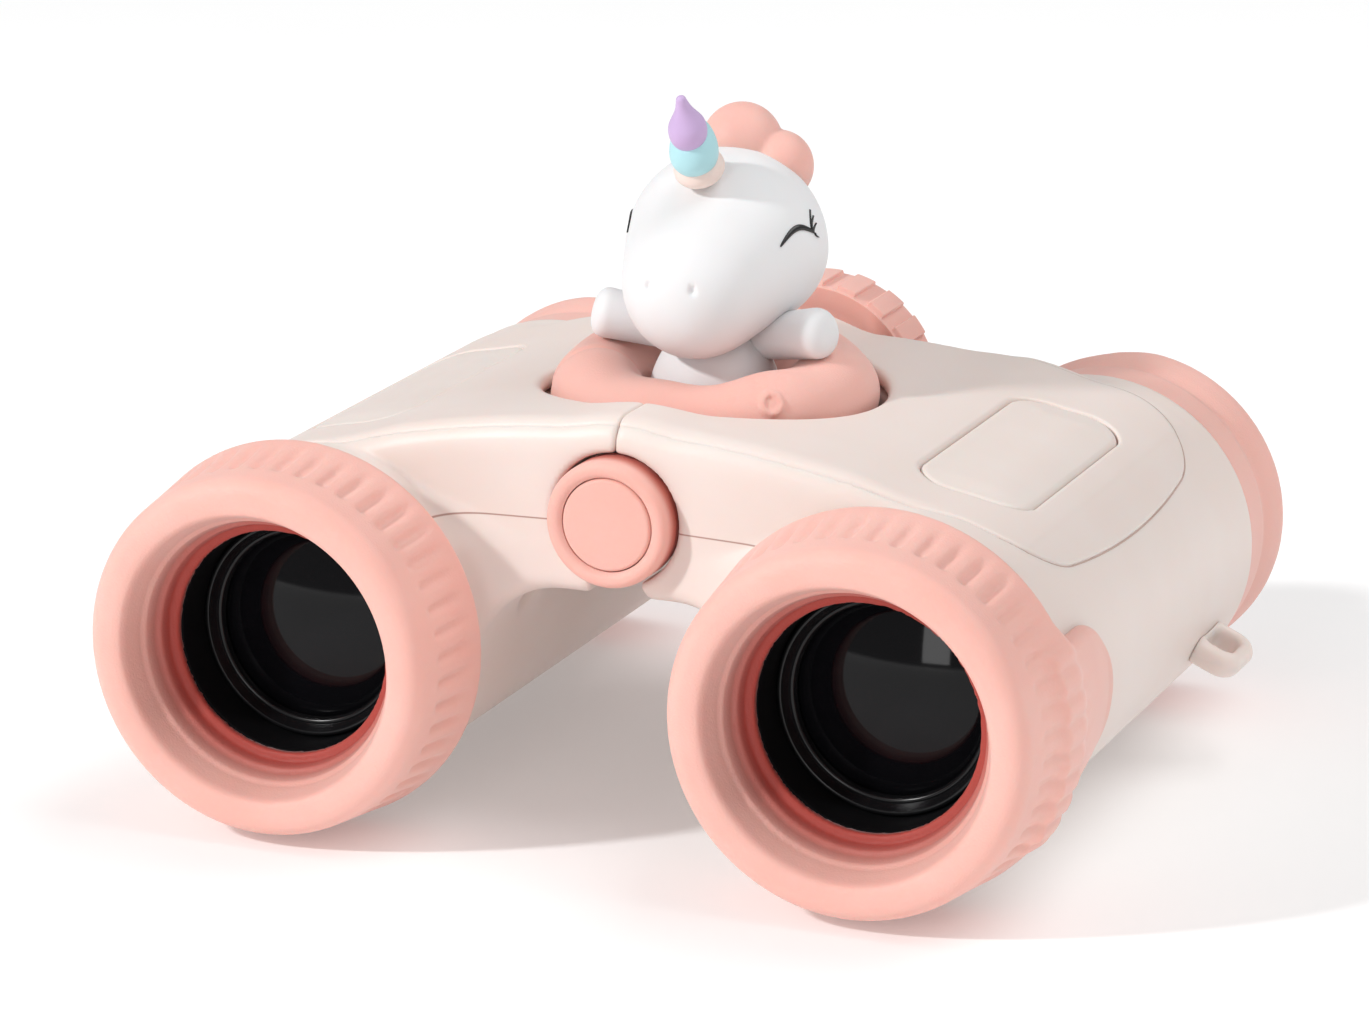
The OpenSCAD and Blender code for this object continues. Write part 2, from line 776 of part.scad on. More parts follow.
// Strap loop, a flat eye that stands out of the barrel along its own radius.
module strap_loop() {
    loop_y = barrel_y1 - loop_from_rear;
    loop_out = barrel_r + loop_proud;
    side_bar = (loop_w - slot_w) / 2;
    slot_in = barrel_r + wall / 2;
    difference() {
        on_barrel() rotate([0, loop_angle, 0]) translate([0, loop_y, -loop_t / 2])
            linear_extrude(loop_t) difference() {
                rounded_plan(barrel_r - wall, loop_out, -loop_w / 2, loop_w / 2, side_bar);
                rounded_plan(slot_in, slot_in + slot_h, -slot_w / 2, slot_w / 2, slot_h / 3);
            }
        on_barrel() rod(barrel_r + fit_gap, 0, barrel_y1);
    }
}

// Hinge

module centre_bracket() {
    difference() {
        union() {
            translate([0, float_y, plate_z0]) cylinder(r = plate_r, h = plate_t);
            translate([-post_r, front_post_y, plate_z0])
                cube([2 * post_r, rear_post_y + post_len - front_post_y, plate_t - fit_gap]);
            for (y = [front_post_y, rear_post_y]) {
                on_hinge() rod(post_r, y, y + post_len);
                translate([-post_r, y, hinge_h]) cube([2 * post_r, post_len, post_r]);
            }
            on_hinge() rod(journal_r, rear_post_y, bridge_y1);
        }
        on_hinge() rod(pin_r + fit_gap, front_post_y - over, front_post_y + post_len + over);
        on_hinge() rod(screw_r + run_gap, rear_post_y - over, bridge_y1 + over);
        figure_screw_holes(figure_screw_r + fit_gap, figure_head_r + fit_gap);
    }
}

module hinge_pin() {
    on_hinge() rod(pin_r, cap_y0 + 2 * wall, front_post_y + post_len);
}

module hinge_cap() {
    disc_seat_y = cap_y0 + 2 * wall - fit_gap - wall / 2;
    edge_r = (cap_r - cap_disc_r) / 2 - fit_gap;
    on_hinge() difference() {
        turned() {
            translate([cap_r - edge_r, cap_y0 + edge_r]) circle(r = edge_r);
            translate([0, cap_y0 + edge_r]) square([cap_r, cap_y1 - cap_y0 - edge_r]);
        }
        rod(cap_disc_r + 2 * fit_gap, cap_y0 - over, disc_seat_y);
        rod(pin_r + fit_gap, cap_y0, cap_y1 + over);
    }
}

module hinge_cap_disc() {
    on_hinge() rod(cap_disc_r, cap_y0 + wall / 2, cap_y0 + 3 * wall / 2 - 2 * fit_gap);
}

// Focus train

module focus_wheel() {
    core_r = wheel_r - ridge_h;
    on_hinge() difference() {
        union() {
            rod(core_r, wheel_y0, wheel_y1);
            intersection() {
                rod(wheel_r, wheel_y0 + wall / 2, wheel_y1 - wall / 2);
                for (i = [0 : ridge_count - 1]) rotate([0, 360 / ridge_count * i, 0])
                    translate([core_r - ridge_h, wheel_y0, -ridge_w / 2])
                        cube([3 * ridge_h, wheel_w, ridge_w]);
            }
        }
        rod(screw_r + fit_gap, wheel_y0 - over, wheel_y1 + over);
        rod(screw_head_r + fit_gap, wheel_y1 - screw_head_t, wheel_y1 + over);
    }
}

module focus_screw() {
    on_hinge() {
        rod(screw_r, screw_y0, wheel_y1);
        rod(screw_head_r, wheel_y1 - screw_head_t + fit_gap, wheel_y1);
    }
}

// Grooved nut whose flat top runs under the bracket's plate, so that it slides and doesn't turn.
module focus_carriage() {
    y0 = carriage_y - carriage_len / 2;
    difference() {
        on_hinge() {
            rod(groove_r, y0, y0 + carriage_len);
            rod(flange_r, y0, y0 + flange_t);
            rod(flange_r, y0 + carriage_len - flange_t, y0 + carriage_len);
        }
        on_hinge() rod(screw_r + run_gap, y0 - over, y0 + carriage_len + over);
        translate([-flange_r, y0 - over, plate_z0 - side_gap])
            cube([2 * flange_r, carriage_len + 2 * over, flange_r]);
    }
}

module focus_washer() {
    on_hinge() difference() {
        rod(journal_r, bridge_y1, bridge_y1 + washer_t);
        rod(screw_r + run_gap, bridge_y1 - over, bridge_y1 + washer_t + over);
    }
}

// Swim ring and figure

module at_float() {
    translate([0, float_y, 0]) children();
}

module float_torus(grow) {
    at_float() translate([0, 0, float_h]) rotate_extrude()
        translate([float_r, 0]) circle(r = float_tube_r + grow);
}

module swim_ring() {
    difference() {
        float_torus(0);
        at_float() cylinder(r = 2 * float_r, h = plate_z1);
    }
}

module figure_screw_holes(r, head_r) {
    for (side = [-1, 1]) at_float() translate([side * figure_screw_x, 0, plate_z0]) {
        cylinder(r = r, h = figure_screw_len + plate_t);
        cylinder(r1 = head_r, r2 = r, h = plate_t / 2);
    }
}

module figure_screws() {
    difference() {
        figure_screw_holes(figure_screw_r, figure_head_r);
        at_float() cylinder(r = 2 * float_r, h = plate_z0 + fit_gap);
    }
}

module figure_torso() {
    difference() {
        at_float() rotate_extrude() polygon([
            [0, plate_z1],
            [torso_r, plate_z1],
            [torso_r, float_h + wall],
            [neck_r, neck_z],
            [0, neck_z]]);
        figure_screw_holes(figure_screw_r + fit_gap, figure_head_r);
    }
}

// Head and muzzle as one rounded form.
module head_form(grow) {
    hull() {
        translate([0, head_y, head_z]) sphere(r = head_r + grow, $fn = hull_fn);
        translate([0, muzzle_y, muzzle_z]) sphere(r = muzzle_r + grow, $fn = hull_fn);
    }
}

module head_ball(grow) {
    translate([0, head_y, head_z]) sphere(r = head_r + grow);
}

module figure_head() {
    difference() {
        head_form(0);
        at_float() translate([0, 0, plate_z1]) cylinder(r = torso_r + fit_gap, h = torso_len + fit_gap);
    }
}

module figure_mane() {
    difference() {
        for (lock = mane_shares)
            translate([lock[0] * head_r, head_y + lock[1] * head_r, head_z + lock[2] * head_r])
                sphere(r = lock[3] * mane_r);
        head_ball(fit_gap);
    }
}

// Foreleg that leaves the torso under the head and rests its hoof on the swim ring.
module foreleg() {
    root = [torso_r / 2, float_y, neck_z + wall / 3];
    tip = [hoof_x, float_y, hoof_z];
    reach = norm(tip - root);
    lift = acos((tip[2] - root[2]) / reach);
    difference() {
        translate(root) rotate([0, lift, 0]) rotate_extrude() difference() {
            union() {
                translate([0, reach]) circle(r = hoof_r);
                polygon([[0, 0], [hoof_r - wall / 3, 0], [hoof_r, reach], [0, reach]]);
            }
            translate([-2 * hoof_r, -hoof_r]) square([2 * hoof_r, 2 * reach]);
        }
        head_ball(wall / 2);
        at_float() cylinder(r = torso_r + fit_gap, h = half_h);
    }
}

// Closed eyes, a thin curved line on each side of the head.
module closed_eyes() {
    for (side = [-1, 1]) intersection() {
        difference() {
            head_form(eye_lift);
            head_form(fit_gap);
        }
        translate([0, head_y, head_z + eye_up]) rotate([0, 0, -90 + side * eye_deg]) rotate([0, 90, 0])
            linear_extrude(2 * head_r) difference() {
                circle(r = eye_r);
                circle(r = eye_r - eye_t);
                translate([0, -2 * eye_r]) square(4 * eye_r);
            }
    }
}

// A place on the horn's axis, a length above the point where it leaves the head.
module on_horn(up) {
    translate([0, head_y, head_z]) rotate([horn_polar_deg, 0, 0]) translate([0, 0, head_r - horn_sink])
        rotate([horn_lean - horn_polar_deg, 0, 0]) translate([0, 0, up]) children();
}

// A rounded bead of the horn, with flat ends.
module horn_bead(r, top_r, h) {
    rotate_extrude() {
        polygon([[0, 0], [r - h / 4, 0], [r, h / 3], [top_r, h], [0, h]]);
    }
}

module horn_base() {
    difference() {
        on_horn(0) horn_bead(horn_r, horn_r * horn_shares[1] - fit_gap, horn_parts[0]);
        head_form(fit_gap);
    }
}

module horn_middle() {
    on_horn(horn_parts[0]) horn_bead(horn_r * horn_shares[1], horn_r * horn_shares[2], horn_parts[1]);
}

module horn_tip() {
    h = horn_parts[2];
    tip_r = horn_r * horn_shares[2];
    on_horn(horn_parts[0] + horn_parts[1]) rotate_extrude()
        polygon([
            [0, 0],
            [tip_r * horn_shares[1], 0],
            [tip_r, h / 4],
            [tip_r / 2, h * horn_shares[2]],
            [0, h]]);
}

module body_colour() {
    color("#ecd6cd") children();
}

module coral() {
    color("#ee9a8c") children();
}

module black() {
    color("#141416") children();
}

module clear() {
    color("#c8d4dc", 0.4) children();
}

module steel() {
    color("#b8bcc0") children();
}

module white() {
    color("#f4f3f2") children();
}

module left_lower_shell() { body_colour() half(-1) lower_shell(front_knuckle_y, rear_knuckle_y); }
module right_lower_shell() {
    body_colour() half(1) lower_shell(front_knuckle_y + knuckle_step, rear_knuckle_y + knuckle_step);
}
module left_cover() { body_colour() half(-1) cover(); }
module right_cover() { body_colour() half(1) cover(); }
module left_grip_pad() { body_colour() half(-1) grip_pad(); }
module right_grip_pad() { body_colour() half(1) grip_pad(); }
module left_case_screws() { steel() half(-1) case_screws(); }
module right_case_screws() { steel() half(1) case_screws(); }
module left_objective_ring() { coral() half(-1) objective_ring(); }
module right_objective_ring() { coral() half(1) objective_ring(); }
module left_objective_tube() { black() half(-1) objective_tube(); }
module right_objective_tube() { black() half(1) objective_tube(); }
module left_objective_lens() { clear() half(-1) objective_lens(); }
module right_objective_lens() { clear() half(1) objective_lens(); }
module left_lens_retainer() { black() half(-1) lens_retainer(); }
module right_lens_retainer() { black() half(1) lens_retainer(); }
module left_focus_cell() { black() half(-1) focus_cell(); }
module right_focus_cell() { black() half(1) focus_cell(); }
module left_focus_lens() { clear() half(-1) focus_lens(); }
module right_focus_lens() { clear() half(1) focus_lens(); }
module left_prism_cage() { black() half(-1) prism_cage(); }
module right_prism_cage() { black() half(1) prism_cage(); }
module left_prism() { clear() half(-1) prism(); }
module right_prism() { clear() half(1) prism(); }
module left_eyepiece_tube() { black() half(-1) eyepiece_tube(); }
module right_eyepiece_tube() { black() half(1) eyepiece_tube(); }
module left_eye_lens() { clear() half(-1) eye_lens(); }
module right_eye_lens() { clear() half(1) eye_lens(); }
module left_eyecup() { coral() half(-1) eyecup(); }
module right_eyecup() { coral() half(1) eyecup(); }
module left_strap_loop() { body_colour() half(-1) strap_loop(); }
module right_strap_loop() { body_colour() half(1) strap_loop(); }

left_lower_shell();
right_lower_shell();
left_cover();
right_cover();
left_grip_pad();
right_grip_pad();
left_case_screws();
right_case_screws();
left_objective_ring();
right_objective_ring();
left_objective_tube();
right_objective_tube();
left_objective_lens();
right_objective_lens();
left_lens_retainer();
right_lens_retainer();
left_focus_cell();
right_focus_cell();
left_focus_lens();
right_focus_lens();
left_prism_cage();
right_prism_cage();
left_prism();
right_prism();
left_eyepiece_tube();
right_eyepiece_tube();
left_eye_lens();
right_eye_lens();
left_eyecup();
right_eyecup();
left_strap_loop();
right_strap_loop();
steel() stand() centre_bracket();
steel() stand() hinge_pin();
coral() stand() hinge_cap();
coral() stand() hinge_cap_disc();
coral() stand() focus_wheel();
steel() stand() focus_screw();
black() stand() focus_carriage();
steel() stand() focus_washer();
coral() stand() swim_ring();
white() stand() figure_torso();
white() stand() figure_head();
coral() stand() figure_mane();
white() half(-1) foreleg();  // left_foreleg
white() half(1) foreleg();  // right_foreleg
black() stand() closed_eyes();
color("#f8dccb") stand() horn_base();
color("#9fdbe2") stand() horn_middle();
color("#c2a0e0") stand() horn_tip();
steel() stand() figure_screws();
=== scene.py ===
"""Looks of the folding toy binoculars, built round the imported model.

Sizes are in millimetres in the optical frame: the optical axes lie at z = 0 and x = 35 or -35, the mouths of
the objective rings at y = 0 and the eyecups towards +Y. A mesh is moved to the part's frame, in metres, when
it is made. The soft, blended pieces are moulded: each is a field, below 0 inside, that is meshed on a grid.
"""

from __future__ import annotations

import json
import logging
import math
from collections.abc import Callable, Iterable, Sequence
from dataclasses import dataclass
from enum import Enum
from functools import cached_property, reduce

import bpy
import numpy as np
from mathutils import Matrix, Vector

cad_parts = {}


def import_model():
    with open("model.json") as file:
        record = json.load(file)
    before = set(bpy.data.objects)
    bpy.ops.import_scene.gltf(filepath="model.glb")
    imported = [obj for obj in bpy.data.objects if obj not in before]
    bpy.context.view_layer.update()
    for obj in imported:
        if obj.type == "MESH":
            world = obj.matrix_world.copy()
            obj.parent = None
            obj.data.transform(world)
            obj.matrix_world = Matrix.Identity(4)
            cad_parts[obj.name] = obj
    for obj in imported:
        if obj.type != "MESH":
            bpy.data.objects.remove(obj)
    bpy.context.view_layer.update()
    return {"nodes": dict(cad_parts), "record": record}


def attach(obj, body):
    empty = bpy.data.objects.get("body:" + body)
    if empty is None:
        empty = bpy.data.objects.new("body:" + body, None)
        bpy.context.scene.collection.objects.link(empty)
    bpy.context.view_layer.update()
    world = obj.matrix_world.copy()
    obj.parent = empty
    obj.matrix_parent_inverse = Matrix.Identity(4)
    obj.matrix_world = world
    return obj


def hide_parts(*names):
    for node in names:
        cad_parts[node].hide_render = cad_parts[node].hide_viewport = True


LOG = logging.getLogger("binoculars")
MM = 0.001
TO_PART = (0.0, -49.175, 22.1)
AXIS_X = 35.0
HINGE_Z = 14.7
BARREL_R = 19.4
TINY = 1e-9

Array = np.ndarray
Points = np.ndarray
Field = Callable[[Points], Array]
Cast = tuple[Points, Array | list[list[int]]]
Pair = tuple[float, float]
Triple = tuple[float, float, float]
Profile = list[Pair]


class Side(Enum):
    """A half of the binoculars, with its sign along X."""

    LEFT = -1
    RIGHT = 1

    def node(self, name: str) -> str:
        """A name with this side's word before it."""
        return f"{self.name.lower()}_{name}"


class Slot(Enum):
    """The record's material slots."""

    BODY = "body_plastic"
    CORAL = "coral_soft_plastic"
    BLACK = "black_plastic"
    GLASS = "lens_glass"
    STEEL = "steel"
    WHITE = "figure_white"
    INK = "eye_black"
    CREAM = "horn_cream"
    TURQUOISE = "horn_turquoise"
    LILAC = "horn_lilac"


def in_part(value: float, axis: int) -> float:
    """A coordinate of the optical frame in the part's frame, in metres."""
    return (value + TO_PART[axis]) * MM


def place(x: float, y: float, z: float) -> Vector:
    """A point of the optical frame in the part's frame, in metres."""
    return Vector([in_part(value, axis) for axis, value in enumerate((x, y, z))])


def common(*fields: Array) -> Array:
    """The part that all the fields share, with sharp edges."""
    return reduce(np.maximum, fields)


def smooth_min(a: Array, b: Array, width: float | Array) -> Array:
    """Joins two fields with a fillet.

    Args:
        a: the first field's values.
        b: the second field's values.
        width: how far from the crease the fillet starts, in mm.

    Returns:
        The joined field's values.
    """
    share = np.maximum(width - np.abs(a - b), 0.0) / width
    return np.minimum(a, b) - share * share * width / 4


def smooth_max(a: Array, b: Array, width: float | Array) -> Array:
    """The part two fields share, with its edge rounded; arguments as for smooth_min."""
    return -smooth_min(-a, -b, width)


def ramp(value: Array, start: float | Array, end: float | Array) -> Array:
    """A soft step from 0 at start to 1 at end; end may be below start."""
    t = np.clip((value - start) / (end - start), 0.0, 1.0)
    return t * t * (3 - 2 * t)


def ball(p: Points, centre: Triple, radius: float) -> Array:
    """The field of a ball."""
    return np.linalg.norm(p - np.array(centre), axis=1) - radius


def egg(p: Points, centre: Triple, radii: Triple) -> Array:
    """The field of an ellipsoid, close to a distance near its surface.

    Args:
        p: the points.
        centre: its middle.
        radii: its radii along X, Y and Z.

    Returns:
        The field's values.
    """
    q = p - np.array(centre)
    near = np.linalg.norm(q / np.array(radii), axis=1)
    return near * (near - 1.0) / (np.linalg.norm(q / np.square(radii), axis=1) + TINY)


def taper(p: Points, start: Triple, end: Triple, r0: float, r1: float) -> Array:
    """The field of a rod with round ends of two radii.

    Args:
        p: the points.
        start: centre of the first end.
        end: centre of the second end.
        r0: radius at the first end.
        r1: radius at the second end.

    Returns:
        The field's values.
    """
    a, b = np.array(start), np.array(end)
    t = np.clip((p - a) @ (b - a) / ((b - a) @ (b - a)), 0.0, 1.0)
    return np.linalg.norm(p - a - t[:, None] * (b - a), axis=1) - (r0 + (r1 - r0) * t)


def box(p: Points, middle: Triple, half: Triple) -> Array:
    """The field of a box with sharp edges."""
    return common(*(np.abs(v - m) - h for v, m, h in zip(p.T, middle, half, strict=True)))


def outline(u: Array, v: Array, corners: Profile) -> Array:
    """The signed distance to a closed outline in a plane.

    Args:
        u: first coordinates of the points.
        v: second coordinates of the points.
        corners: the outline's corners in order.

    Returns:
        The distance, below 0 inside.
    """
    best = np.full(u.shape, np.inf)
    inside = np.zeros(u.shape, dtype=bool)
    for (u0, v0), (u1, v1) in zip(corners, [*corners[1:], corners[0]], strict=True):
        du, dv = u1 - u0, v1 - v0
        t = np.clip(((u - u0) * du + (v - v0) * dv) / (du * du + dv * dv), 0.0, 1.0)
        best = np.minimum(best, np.square(u - u0 - t * du) + np.square(v - v0 - t * dv))
        crosses = (v0 > v) != (v1 > v)
        inside ^= crosses & (u < u0 + (v - v0) * du / (dv or TINY))
    return np.where(inside, -1.0, 1.0) * np.sqrt(best)


def rounded_plan(u: Array, v: Array, low: Pair, high: Pair, radius: float | Array) -> Array:
    """The signed distance to a rectangle with round corners.

    Args:
        u: first coordinates of the points.
        v: second coordinates of the points.
        low: the rectangle's low corner.
        high: the rectangle's high corner.
        radius: radius of its corners.

    Returns:
        The distance, below 0 inside.
    """
    au, av = (np.abs(w - (lo + hi) / 2) - (hi - lo) / 2 + radius
              for w, lo, hi in zip((u, v), low, high, strict=True))
    return np.hypot(np.maximum(au, 0), np.maximum(av, 0)) + np.minimum(np.maximum(au, av), 0) - radius


def bend(centre: Pair, radius: float, start: float, end: float, steps: int) -> Profile:
    """Points on an arc in a profile.

    Args:
        centre: centre of the arc.
        radius: its radius.
        start: angle of the first point, in degrees.
        end: angle of the last point, in degrees.
        steps: how many spans it has.

    Returns:
        The points in order.
    """
    turns = [math.radians(start + (end - start) * i / steps) for i in range(steps + 1)]
    return [(centre[0] + radius * math.cos(t), centre[1] + radius * math.sin(t)) for t in turns]


def reach_of(inside: Callable[[Array], Array], count: int, low: float, high: float) -> Array:
    """How far a test stays true along each of many lines, found by halving.

    Args:
        inside: the test, given a distance along each line.
        count: how many lines there are.
        low: a distance at which it is true.
        high: a distance at which it is false.

    Returns:
        The distances.
    """
    near, far = np.full(count, low), np.full(count, high)
    for _ in range(24):
        middle = (near + far) / 2
        held = inside(middle)
        near, far = np.where(held, middle, near), np.where(held, far, middle)
    return near


def ribbon(rails: Sequence[Points]) -> tuple[Points, list[list[int]]]:
    """A closed strip along rails of equally many points, capped at both ends.

    Args:
        rails: the strip's edges, in order round its section.

    Returns:
        The points and the faces.
    """
    around, count = len(rails), len(rails[0])
    faces: list[list[int]] = []
    for r in range(around):
        here, there = r * count, (r + 1) % around * count
        faces += [[here + i, here + i + 1, there + i + 1, there + i] for i in range(count - 1)]
    first, last = ([r * count + at for r in range(around)] for at in (0, count - 1))
    return np.concatenate(rails), [*faces, first, last[::-1]]


@dataclass(frozen=True)
class Mould:
    """Makes a smooth closed mesh of a field's zero level, by joining the crossed cells of a grid.

    Attributes:
        low: low corner of the grid, in mm.
        high: high corner of the grid, in mm.
        pitch: spacing of the grid, in mm.
        rows: how many rows of the grid are worked out at a time.
    """

    low: Triple
    high: Triple
    pitch: float
    rows: int = 24

    def cast(self, shape: Field) -> Cast:
        """Meshes a field.

        Args:
            shape: the field, below 0 inside the piece.

        Returns:
            The points in mm and the four-sided faces, which point outwards.
        """
        ends = zip(self.low, self.high, strict=True)
        axes = [np.arange(lo, hi + self.pitch, self.pitch) for lo, hi in ends]
        slabs: list[Array] = []
        for start in range(0, len(axes[0]), self.rows):
            grid = np.meshgrid(axes[0][start:start + self.rows], *axes[1:], indexing="ij")
            slabs.append(shape(np.stack([g.ravel() for g in grid], axis=1)))
        values = np.concatenate(slabs).reshape([len(a) for a in axes])
        inside = values < 0
        points, index = self._points(values, inside)
        faces = [self._faces(inside, index, axis) for axis in range(3)]
        return self._settle(shape, points * self.pitch + np.array(self.low)), np.concatenate(faces)

    @staticmethod
    def _points(values: Array, inside: Array) -> tuple[Points, Array]:
        """One point in each crossed cell, the mean of the crossings on its edges.

        Args:
            values: the field on the grid.
            inside: where the field is below 0.

        Returns:
            The points in cells and the number of each cell's point.
        """
        corner = [(i, j, k) for i in (0, 1) for j in (0, 1) for k in (0, 1)]
        cut = [tuple(slice(o, n - 1 + o) for o, n in zip(c, values.shape, strict=True)) for c in corner]
        count = sum(inside[c].astype(np.int8) for c in cut)
        active = (count > 0) & (count < len(corner))
        cells = np.argwhere(active)
        total, hits = np.zeros(cells.shape), np.zeros(len(cells))
        held = [values[c][active] for c in cut]
        for a, ca in enumerate(corner):
            for b, cb in enumerate(corner):
                if b <= a or sum(abs(x - y) for x, y in zip(ca, cb, strict=True)) != 1:
                    continue
                crossed = (held[a] < 0) != (held[b] < 0)
                share = np.where(crossed, held[a] / np.where(crossed, held[a] - held[b], 1.0), 0.0)
                spot = np.array(ca) + share[:, None] * (np.array(cb) - np.array(ca))
                total += np.where(crossed[:, None], spot, 0.0)
                hits += crossed
        index = np.full(active.shape, -1)
        index[active] = np.arange(len(cells))
        return cells + total / hits[:, None], index

    @staticmethod
    def _faces(inside: Array, index: Array, axis: int) -> Array:
        """The faces across the crossed grid edges along an axis.

        Args:
            inside: where the field is below 0.
            index: the number of each cell's point.
            axis: the edges' direction.

        Returns:
            Four point numbers for each face.
        """
        turned, numbers = (np.transpose(a, [(axis + i) % 3 for i in range(3)]) for a in (inside, index))
        low, high = turned[:-1, 1:-1, 1:-1], turned[1:, 1:-1, 1:-1]
        spots = np.argwhere(low != high) + np.array((0, 1, 1))
        around = [(0, -1, -1), (0, 0, -1), (0, 0, 0), (0, -1, 0)]
        faces = np.stack([numbers[tuple((spots + np.array(o)).T)] for o in around], axis=1)
        outward = turned[tuple(spots.T)]
        return np.where(outward[:, None], faces, faces[:, ::-1])

    def _settle(self, shape: Field, points: Points) -> Points:
        """Moves points onto the field's zero level, in short steps down its slope.

        Args:
            shape: the field.
            points: the points, in mm.

        Returns:
            The settled points.
        """
        probe, longest, least_slope = self.pitch * 0.15, self.pitch * 0.5, 0.05
        for _ in range(4):
            value = shape(points)
            steps = [shape(points + probe * unit) - shape(points - probe * unit) for unit in np.eye(3)]
            slope = np.stack(steps, axis=1) / (2 * probe)
            push = value[:, None] * slope / (np.sum(slope * slope, axis=1)[:, None] + least_slope)
            length = np.linalg.norm(push, axis=1)[:, None] + TINY
            points = points - push * np.minimum(1.0, longest / length)
        return points


class Value:
    """A socket of a shader that takes part in sums."""

    def __init__(self, shader: Shader, socket: bpy.types.NodeSocket) -> None:
        """Keeps the socket and the shader it belongs to."""
        self.shader, self.socket = shader, socket

    def _sum(self, operation: str, first: Value | float, second: Value | float = 0.0) -> Value:
        """A Math node of two values."""
        return self.shader.node("ShaderNodeMath", {"operation": operation}, {0: first, 1: second})

    def __add__(self, other: Value | float) -> Value:
        """This value and another."""
        return self._sum("ADD", self, other)

    __radd__ = __add__

    def __sub__(self, other: Value | float) -> Value:
        """This value less another."""
        return self._sum("SUBTRACT", self, other)

    def __rsub__(self, other: Value | float) -> Value:
        """Another value less this one."""
        return self._sum("SUBTRACT", other, self)

    def __mul__(self, other: Value | float) -> Value:
        """This value times another."""
        return self._sum("MULTIPLY", self, other)

    __rmul__ = __mul__

    def __abs__(self) -> Value:
        """This value without its sign."""
        return self._sum("ABSOLUTE", self)

    def step(self, start: float, end: float) -> Value:
        """A soft step of this value from 0 at start to 1 at end."""
        settings = {"interpolation_type": "SMOOTHSTEP"}
        return self.shader.node("ShaderNodeMapRange", settings, {0: self, 1: start, 2: end, 3: 0.0, 4: 1.0})


class Shader:
    """A node material under construction."""

    def __init__(self, name: str) -> None:
        """Starts a material of that name with one principled shader."""
        self.material = bpy.data.materials.new(name)
        self.material.use_nodes = True
        self.tree = self.material.node_tree
        self.skin = self.tree.nodes["Principled BSDF"]

    def node(self, kind: str, settings: dict[str, object] | None = None,
             inputs: dict[int | str, object] | None = None, output: int | str = 0) -> Value:
        """Adds a node.

        Args:
            kind: the node's type.
            settings: its properties, set before its sockets.
            inputs: a value, or the output of another node, for its sockets.
            output: which output is wanted.

        Returns:
            That output.
        """
        made = self.tree.nodes.new(kind)
        for key, value in (settings or {}).items():
            setattr(made, key, value)
        for key, value in (inputs or {}).items():
            if isinstance(value, Value):
                self.tree.links.new(value.socket, made.inputs[key])
            else:
                made.inputs[key].default_value = value
        return Value(self, made.outputs[output])

    def place(self) -> Value:
        """The point on the object."""
        return self.node("ShaderNodeTexCoord", output="Object")

    def axes(self) -> list[Value]:
        """The point's coordinates in the part's frame, in metres."""
        return [self.node("ShaderNodeSeparateXYZ", {}, {0: self.place()}, axis) for axis in "XYZ"]

    def noise(self, size: float, detail: float = 2.0) -> Value:
        """Noise whose grains are about size mm wide."""
        inputs = {"Vector": self.place(), "Scale": 1.0 / (size * MM), "Detail": detail}
        return self.node("ShaderNodeTexNoise", {}, inputs)

    def mix(self, factor: Value, first: Value | Triple, second: Triple) -> Value:
        """A colour that turns from the first to the second as factor goes from 0 to 1."""
        start = first if isinstance(first, Value) else (*first, 1.0)
        settings = {"data_type": "RGBA", "clamp_factor": True}
        return self.node("ShaderNodeMix", settings, {"Factor": factor, 6: start, 7: (*second, 1.0)}, 2)

    def wire(self, socket: str, value: Value) -> None:
        """Links a value to the shader."""
        self.tree.links.new(value.socket, self.skin.inputs[socket])

    def fix(self, **constants: object) -> None:
        """Sets sockets of the shader that are the same all over; underscores stand for spaces."""
        for key, value in constants.items():
            self.skin.inputs[key.replace("_", " ")].default_value = value


@dataclass(frozen=True)
class Plastic:
    """A moulded plastic with a fine grain and slightly uneven colour.

    Attributes:
        name: the material's name.
        colour: its colour, linear.
        tint: the colour it wanders to, linear.
        roughness: mean roughness.
        grain: width of the grain, in mm.
        relief: depth of the grain, in mm.
        glow: how much light passes under the skin.
        reach: how far that light goes in red, green and blue.
        depth: scale of that reach, in mm.
        sheen: how much it brightens where seen at a slant.
        level: strength of its reflection.
        cloud: width of the unevenness, in mm.
    """

    name: str
    colour: Triple
    tint: Triple
    roughness: float = 0.42
    grain: float = 0.35
    relief: float = 0.006
    glow: float = 0.0
    reach: Triple = (1.0, 0.45, 0.35)
    depth: float = 1.2
    sheen: float = 0.0
    level: float = 0.35
    cloud: float = 14.0

    def paint(self, made: Shader, wander: Value) -> Value:
        """The colour over the surface."""
        return made.mix(wander.step(0.3, 0.7), self.colour, self.tint)

    def material(self) -> bpy.types.Material:
        """Makes the material.

        Returns:
            The material, with colour, roughness and grain in place.
        """
        made = Shader(self.name)
        wander, grain = made.noise(self.cloud), made.noise(self.grain)
        made.wire("Base Color", self.paint(made, wander))
        made.wire("Roughness", wander * 0.10 + grain * 0.06 + (self.roughness - 0.08))
        relief = {"Height": grain, "Distance": self.relief * MM, "Strength": 1.0}
        made.wire("Normal", made.node("ShaderNodeBump", {}, relief))
        made.fix(Sheen_Weight=self.sheen, Sheen_Roughness=0.5, Specular_IOR_Level=self.level)
        made.fix(Subsurface_Weight=self.glow, Subsurface_Radius=self.reach, Subsurface_Scale=self.depth * MM)
        return made.material


